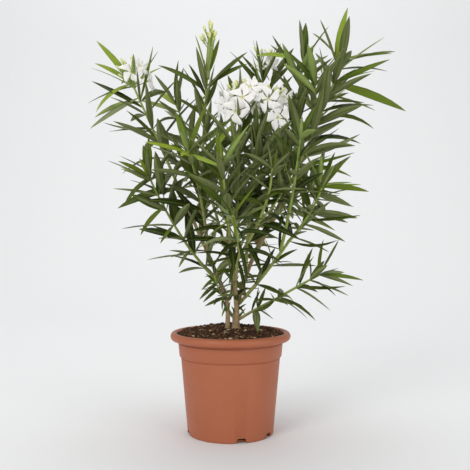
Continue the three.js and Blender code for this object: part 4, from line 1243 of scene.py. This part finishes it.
stemSizes = {
    "barkSides": 22, "barkStep": 1.4, "shootSides": 12, "shootStep": 3, "twigSides": 7, "twigStep": 5,
    "footSteps": 22, "footFall": 2.5, "relief": 0.06, "shootRelief": 0.03, "shootThick": 1.25,
    "topStalk": (4.2, 3.15), "stalkStep": 4,
    # the age at a shoot's foot: on a green shoot, and as a share of its stem's where it leaves below its top
    "youngAge": 0.4, "topShare": 0.6, "sideAge": 0.5,
    # the scar of each whorl: how far apart, how high, where in its stretch, how wide and each stem's shift
    "scarApart": 17, "scarHeight": 0.09, "scarAt": 4, "scarWide": 1.1, "scarShift": 3.1,
    # the trunk's core, hidden between the stems' feet: share of its height, and radius
    "core": [(0, 7), (0.2, 5.2), (0.5, 4.4), (1, 3.4)], "coreSteps": 33, "coreSides": 36,
    "coreRelief": 0.12, "coreSunk": (0.5, 2.5),
}
barkNoise = {"stretch": (0.5, 0.5, 0.16), "coarse": 1.6, "fineness": 2.7, "fine": 0.9}
stemAges = {
    # how woody each stem is at its foot and at its tip, 1 for bark and 0 for green skin
    "left_stem": (1, 0.75), "middle_stem": (1, 0.6), "right_stem": (1, 0.85),
    "outer_right_stem": (0.5, 0.12), "back_stem": (1, 0.6), "low_right_branch": (0.75, 0.2),
}
twigAges, stalkAges, headStalkAges = (0.2, 0), (0.1, 0), (0.25, 0.05)


def addTube(heap, stations, sides, relief=0.0):
    # A round skin over stations of middle, heading, radius and age, uneven by the relief.
    points, ages = [], []
    for middle, heading, radius, age in stations:
        first, second = squareTo(heading)
        for j in range(sides):
            turn = 2 * math.pi * j / sides
            out = first * math.cos(turn) + second * math.sin(turn)
            rough = radius
            if relief:
                place = Vector([x * k for x, k in zip(middle + out * radius, barkNoise["stretch"])])
                coarse, fine = noise.noise(place), noise.noise(place * barkNoise["fineness"])
                rough *= 1 + relief * (coarse * barkNoise["coarse"] + fine * barkNoise["fine"])
            points.append(middle + out * rough)
            ages.append(age)
    faces = bandFaces(sides, len(stations) - 1)
    heap.add(points, faces, [0] * len(faces), ages)


def stemStations(limb, step, ages, scars=0.0, sunk=0.0, seed=0, start=0.0):
    # Stations along a limb, a little thicker where whorls of leaves stood.
    sizes = stemSizes
    count = max(3, int(limb.length * (1 - start) / step))
    stations = []
    for i in range(count + 1):
        t = start + (1 - start) * i / count
        middle, heading = limb.at(t), limb.heading(t)
        if i == 0:
            middle = middle - heading * sunk
        offset = (t * limb.length + seed * sizes["scarShift"]) % sizes["scarApart"]
        scar = scars * math.exp(-((offset - sizes["scarAt"]) / sizes["scarWide"]) ** 2)
        stations.append((middle, heading, limb.radius(t) * (1 + scar), ages[0] + (ages[1] - ages[0]) * t))
    return stations


def footStations(limb):
    # Stations of a main stem's foot, swollen towards the soil.
    stations, count = [], stemSizes["footSteps"]
    for i in range(count):
        t = i / count
        radius = limb.thick[1] + (limb.thick[0] - limb.thick[1]) * (1 - t) ** stemSizes["footFall"]
        stations.append((limb.at(t), limb.heading(t), radius, 1))
    return stations


def coreStations(stump):
    # Stations of the trunk's core, its foot under the soil.
    stations, count, (least, more) = [], stemSizes["coreSteps"], stemSizes["coreSunk"]
    for i in range(count + 1):
        t = i / count
        radius = float(np.interp(t, *zip(*stemSizes["core"])))
        stations.append((stump.at(t) - up * (more * (1 - t) + least), up, radius, 1))
    return stations


def makeWoodyStems():
    sizes, bark = stemSizes, Heap()
    addTube(bark, coreStations(grown["root_crown"]), sizes["coreSides"], sizes["coreRelief"])
    for i, row in enumerate(limbs):
        limb, ages = grown[row["name"]], stemAges[row["name"]]
        step, scars = sizes["barkStep"], sizes["scarHeight"]
        if "on" in row:
            stations = stemStations(limb, step, ages, scars, limb.thick[0] + 1, i)
        else:
            stations = footStations(grown[row["name"] + " foot"])
            stations += stemStations(limb, step, ages, scars, 0, i, stemFeet[row["name"]][1])
        addTube(bark, stations, sizes["barkSides"], sizes["relief"])
    piece = bark.make("woodyStems", ["stemSkin"])
    finishPiece(piece, "bark", "root_crown", *[row["name"] for row in limbs])


def makeGreenShoots():
    sizes, green = stemSizes, Heap()
    for i, mass in enumerate(masses):
        limb = grown[mass["name"]]
        limb.thick = [radius * sizes["shootThick"] for radius in limb.thick]
        foot = stemAges.get(mass["on"], (0, sizes["youngAge"]))[1]
        if mass["at"] <= sizes["topShare"]:
            foot *= sizes["sideAge"]
        stations = stemStations(limb, sizes["shootStep"], (foot, 0), sizes["scarHeight"],
                                limb.thick[0] + 1, i + 9)
        addTube(green, stations, sizes["shootSides"], sizes["shootRelief"])
        for twig in shoots[mass["name"]]["twigs"]:
            addTube(green, stemStations(twig, sizes["twigStep"], twigAges), sizes["twigSides"])
    finishPiece(green.make("greenShoots", ["stemSkin"]), "foliage", *[mass["name"] for mass in masses])


# Leaves

leafSizes = {
    "stations": [0, 0.035, 0.13, 0.27, 0.43, 0.6, 0.77, 0.91, 1], "petiole": 0.15, "tip": 0.03,
    "power": 0.75, "early": 0.9, "midrib": 0.08, "fold": 0.24, "thick": 0.32, "thinnest": 0.4, "rib": 0.35,
    "underRib": 1.5, "perPiece": 660, "seed": 77, "lowSeed": 4711,
    # between midrib and rim: share of the width, share of the rim's rise, and how much above that
    "between": (0.55, 0.62, 0.1),
    "twist": 30, "freeTwist": 10, "lowBroad": 1.35, "freeBroad": 1.05, "slim": 0.5,
    # how many leaves are pale, and how many more below this height
    "paleShare": 0.1, "lowPale": (330, 0.2),
    # the least age of the kinds from fresh to dark, how far it swings and what a tuft's leaves add
    "ages": [(1.12, 3), (0.82, 2), (0.42, 1)], "ageSwing": 0.42, "tuft": 0.3, "tuftBelow": 0.6,
    # a shoot's tone by how high its tip stands
    "toneFrom": 500, "toneFall": 900,
    # how near its middle a leaf in front of a head's stalk or open flower is made slim
    "hides": {"stalk": (9, 45), "flower": 26},
}
leafKinds = ["leafDeep", "leafDark", "leafMid", "leafFresh", "leafPale", "leafUnder", "leafUnderFresh",
             "leafMidrib", "leafMidribFresh"]
fresh, pale, under, underFresh, midrib, midribFresh = range(3, 9)


def bladeRing(leaf, t, half, twist):
    # Eight points round a blade: its rims, midrib and underside, with the sides folded up.
    sizes = leafSizes
    wide = math.sin(math.pi * min(1, t ** sizes["early"])) ** sizes["power"] if 0 < t < 1 else 0
    wide = half * max(wide, sizes["petiole"] if t < 0.1 else sizes["tip"])
    middle, heading = leaf["path"].at(t), leaf["path"].heading(t)
    normal = unit(np.cross(leaf["side"], heading))
    side, turn = np.cross(heading, normal), twist * t
    side, normal = (side * math.cos(turn) + normal * math.sin(turn),
                    normal * math.cos(turn) - side * math.sin(turn))
    rib, rise = min(wide * 0.5, half * sizes["midrib"]), sizes["fold"] * wide
    thick = sizes["thick"] * (sizes["thinnest"] + (1 - sizes["thinnest"]) * wide / half)
    below = normal * (thick + sizes["rib"] * (1 - t))
    across, share, above = sizes["between"]
    between = normal * (rise * share + above)
    return [middle + side * wide + normal * rise, middle + side * rib * sizes["underRib"] - below,
            middle - side * rib * sizes["underRib"] - below, middle - side * wide + normal * rise,
            middle - side * wide * across + between, middle - side * rib,
            middle + side * rib, middle + side * wide * across + between]


def addLeaf(heap, leaf, kind, twist, broad):
    # A closed blade of eight bands: pale midrib, folded upper side and paler underside.
    half, stations = leaf["width"] / 2 * broad, leafSizes["stations"]
    points = [point for t in stations for point in bladeRing(leaf, t, half, twist)]
    below = underFresh if kind == fresh else under
    rib = midribFresh if kind in (fresh, pale) else midrib
    kinds = [below, rib, below, kind, kind, rib, kind, kind] * (len(stations) - 1)
    heap.add(points, bandFaces(8, len(stations) - 1), kinds + [below, below])


def leafKind(leaf, dice, tone):
    # Old leaves are dark, the tufts at the tips fresh, and each shoot has its own tone.
    sizes = leafSizes
    isLow = leaf["path"].foot[2] < sizes["lowPale"][0]
    if dice.roll() < sizes["paleShare"] + isLow * sizes["lowPale"][1]:
        return pale
    age = leaf["share"] + sizes["tuft"] * (leaf["size"] < sizes["tuftBelow"]) + tone
    age += dice.swing(sizes["ageSwing"])
    return next((kind for least, kind in sizes["ages"] if age > least), 0)


def hidesHead(leaf, name):
    # Whether a leaf stands in front of its shoot's open flowers or of their stalk.
    if name not in heads:
        return False
    head, middle, near = heads[name], leaf["path"].at(0.6), leafSizes["hides"]
    stalk = head["stalk"].at(0.5) - middle
    if stalk[1] > 0 and abs(stalk[0]) < near["stalk"][0] and abs(stalk[2]) < near["stalk"][1]:
        return True
    offsets = [item["centre"] - middle for item in head["flowers"]]
    return any(off[1] > 0 and math.hypot(off[0], off[2]) < near["flower"] for off in offsets)


def makeLeaves():
    sizes, dealt = leafSizes, []
    for mass in masses:
        dice = Dice(mass["seed"] + sizes["seed"])
        tone = (grown[mass["name"]].tip[2] - sizes["toneFrom"]) / sizes["toneFall"] + mass["fresh"]
        for leaf in shoots[mass["name"]]["leaves"]:
            broad = mass["broad"] * (sizes["slim"] if hidesHead(leaf, mass["name"]) else 1)
            kind = leafKind(leaf, dice, tone)
            dealt.append((leaf, kind, math.radians(dice.swing(sizes["twist"])), broad))
    dice = Dice(sizes["lowSeed"])
    for leaf in lowGrowth:
        if "tone" in leaf:
            kind = leafKinds.index("leaf" + leaf["tone"])
            twist, broad = sizes["freeTwist"], sizes["freeBroad"]
        else:
            kind = leafKind(leaf, dice, 0)
            twist, broad = sizes["twist"], sizes["lowBroad"]
        dealt.append((leaf, kind, math.radians(dice.swing(twist)), broad))
    count = sizes["perPiece"]
    for i in range(0, len(dealt), count):
        heap = Heap()
        for row in dealt[i:i + count]:
            addLeaf(heap, *row)
        finishPiece(heap.make(f"leaves{i // count + 1}", leafKinds), "foliage")


# Flowers and buds

flowerSizes = {
    "thick": 0.28, "tubeSides": 10, "budSides": 10, "budRibs": 0.1, "ribTurn": 0.12, "stalkSides": 12,
    "seed": 31, "budStalk": [0.8, 0.75], "budSunk": 0.5, "budSwing": 0.08, "budTip": 0.12,
    # the throat's tube as height and radius, closed inside
    "tube": [(-8, 0.9), (-6.8, 1.5), (-3.5, 1.5), (-0.8, 1.9), (0.8, 2.4), (0.4, 1.8), (-1.2, 1),
             (-2.2, 0.3)],
    # a bud as share of its length and share of its radius, above a green foot in mm
    "budFoot": [(0, 0.8), (0.8, 1.35), (2.6, 1.5)], "bud": [(0.45, 0.8), (0.66, 1), (0.84, 0.72)],
}
petalSizes = {
    "along": 8, "across": 6, "half": 7.8, "foot": 1.2, "broadSwing": 0.1, "swell": 1.5, "full": 0.82,
    "blunt": 0.22, "bluntOver": 0.18,
    "start": (1.4, 0.5), "short": 2.2, "lift": 1.4, "rise": 1.3, "skew": 0.24, "slant": 2.4, "round": 1.2,
    "curlFrom": 0.55, "curl": 12.8, "curlLift": (0.7, 0.3), "tilt": 0.8,
    # the waves of its end and of its face: height, how close they are and how far each petal's are shifted
    "wave": 0.5, "endWaves": (7, 5), "faceWaves": (4, 6), "hollow": 3,
}


def addPetal(heap, item, turn, dice):
    # One petal: narrow at its foot, broad and slanted at its blunt end, a little waved.
    sizes, face = petalSizes, item["face"]
    out = outward(face, item["spin"] + turn)
    tangent, columns = np.cross(face, out), sizes["across"] + 1
    wave, lift, broad = dice.swing(1), dice.swing(1), 1 + dice.swing(sizes["broadSwing"])
    (endClose, endShift), (faceClose, faceShift) = sizes["endWaves"], sizes["faceWaves"]
    curl = sizes["curlLift"][0] + sizes["curlLift"][1] * lift
    points = []
    for i in range(sizes["along"] + 1):
        u = i / sizes["along"]
        swell = math.sin(math.pi / 2 * min(1, u / sizes["full"])) ** sizes["swell"]
        wide = sizes["foot"] + (sizes["half"] * broad - sizes["foot"]) * swell
        wide *= 1 - sizes["blunt"] * max(0, (u - sizes["full"]) / sizes["bluntOver"]) ** 2
        for j in range(columns):
            v = 2 * j / sizes["across"] - 1
            end = sizes["slant"] * v - sizes["round"] * v * v
            reach = sizes["start"][0] + (flower["radius"] - sizes["short"]) * u + end * u * u
            reach += sizes["wave"] * math.sin(v * endClose + wave * endShift) * u ** 4
            across = wide * v + sizes["skew"] * reach * u
            height = sizes["start"][1] + (flower["cup"] + sizes["lift"] * lift) * u ** sizes["rise"]
            height -= sizes["curl"] * max(0, u - sizes["curlFrom"]) ** 2 * curl
            ripple = math.sin(v * faceClose + wave * faceShift) * u * u
            hollow = math.cos(v * sizes["hollow"]) * u
            height += sizes["tilt"] * v * u + sizes["wave"] * ripple - sizes["wave"] * hollow
            points.append(item["centre"] + out * reach + tangent * across + face * height)
    faces = [(i * columns + j, (i + 1) * columns + j, (i + 1) * columns + j + 1, i * columns + j + 1)
             for i in range(sizes["along"]) for j in range(sizes["across"])]
    heap.add(points, faces, [1 if corners[0] < columns else 0 for corners in faces])


def addRound(heap, foot, axis, profile, sides, kinds, ribs=0.0):
    # A small turned shape along an axis, from pairs of height and radius, with a kind for each band.
    first, second = squareTo(axis)
    points = []
    for height, radius in profile:
        for j in range(sides):
            turn = 2 * math.pi * j / sides + height * flowerSizes["ribTurn"] * (ribs > 0)
            out = first * math.cos(turn) + second * math.sin(turn)
            points.append(foot + axis * height + out * radius * (1 + ribs * (j % 2)))
    bandKinds = [kind for kind in kinds for _ in range(sides)]
    heap.add(points, bandFaces(sides, len(profile) - 1), bandKinds + [kinds[0], kinds[-1]])


def addStalk(heap, limb, sides=6, ages=stalkAges):
    # A flower's, a bud's or a whole head's thin stalk.
    addTube(heap, stemStations(limb, stemSizes["stalkStep"], ages), sides)


def addFlower(petals, throats, stalks, item, dice):
    for k in range(flower["points"]):
        addPetal(petals, item, 360 / flower["points"] * k, dice)
    addStalk(stalks, item["pedicel"])
    kinds = [1, 1, 0, 0, 0, 0, 0]
    addRound(throats, item["centre"], item["face"], flowerSizes["tube"], flowerSizes["tubeSides"], kinds)


def addBud(buds, stalks, item, dice):
    sizes, foot, axis, reach = flowerSizes, item["foot"], item["axis"], item["reach"]
    end = foot + axis * (reach + sizes["budSunk"])
    addStalk(stalks, Limb(foot, foot + axis * (reach / 2), end, sizes["budStalk"], 6, 2))
    long = bud["length"] * (1 + dice.swing(sizes["budSwing"]))
    body = [(long * share, bud["radius"] * broad) for share, broad in sizes["bud"]]
    profile = [*sizes["budFoot"], *body, (long, sizes["budTip"])]
    kinds = [0, 0, 0, 1, 1, 1]
    addRound(buds, foot + axis * reach, axis, profile, sizes["budSides"], kinds, sizes["budRibs"])


def makeHeads():
    petals, throats, buds, stalks = Heap(), Heap(), Heap(), Heap()
    for name, head in heads.items():
        dice, stalk = Dice(len(name) * flowerSizes["seed"]), head["stalk"]
        if name == "left_top_shoot":
            stalk.thick = list(stemSizes["topStalk"])
        addStalk(stalks, stalk, flowerSizes["stalkSides"], headStalkAges)
        for item in head["flowers"]:
            addFlower(petals, throats, stalks, item, dice)
        for item in head["buds"]:
            addBud(buds, stalks, item, dice)
    piece = petals.make("petals", ["petal", "throat"])
    applyModifier(piece, "petalThickness", "SOLIDIFY", thickness=flowerSizes["thick"] * mm, offset=0)
    finishPiece(piece, "foliage")
    finishPiece(throats.make("flowerThroats", ["throat", "budGreen"]), "foliage")
    finishPiece(buds.make("buds", ["budGreen", "budCream"]), "foliage")
    finishPiece(stalks.make("flowerStalks", ["headStalk"]), "foliage")


makeWoodyStems()
makeGreenShoots()
makeLeaves()
makeHeads()
print("shrub ready")
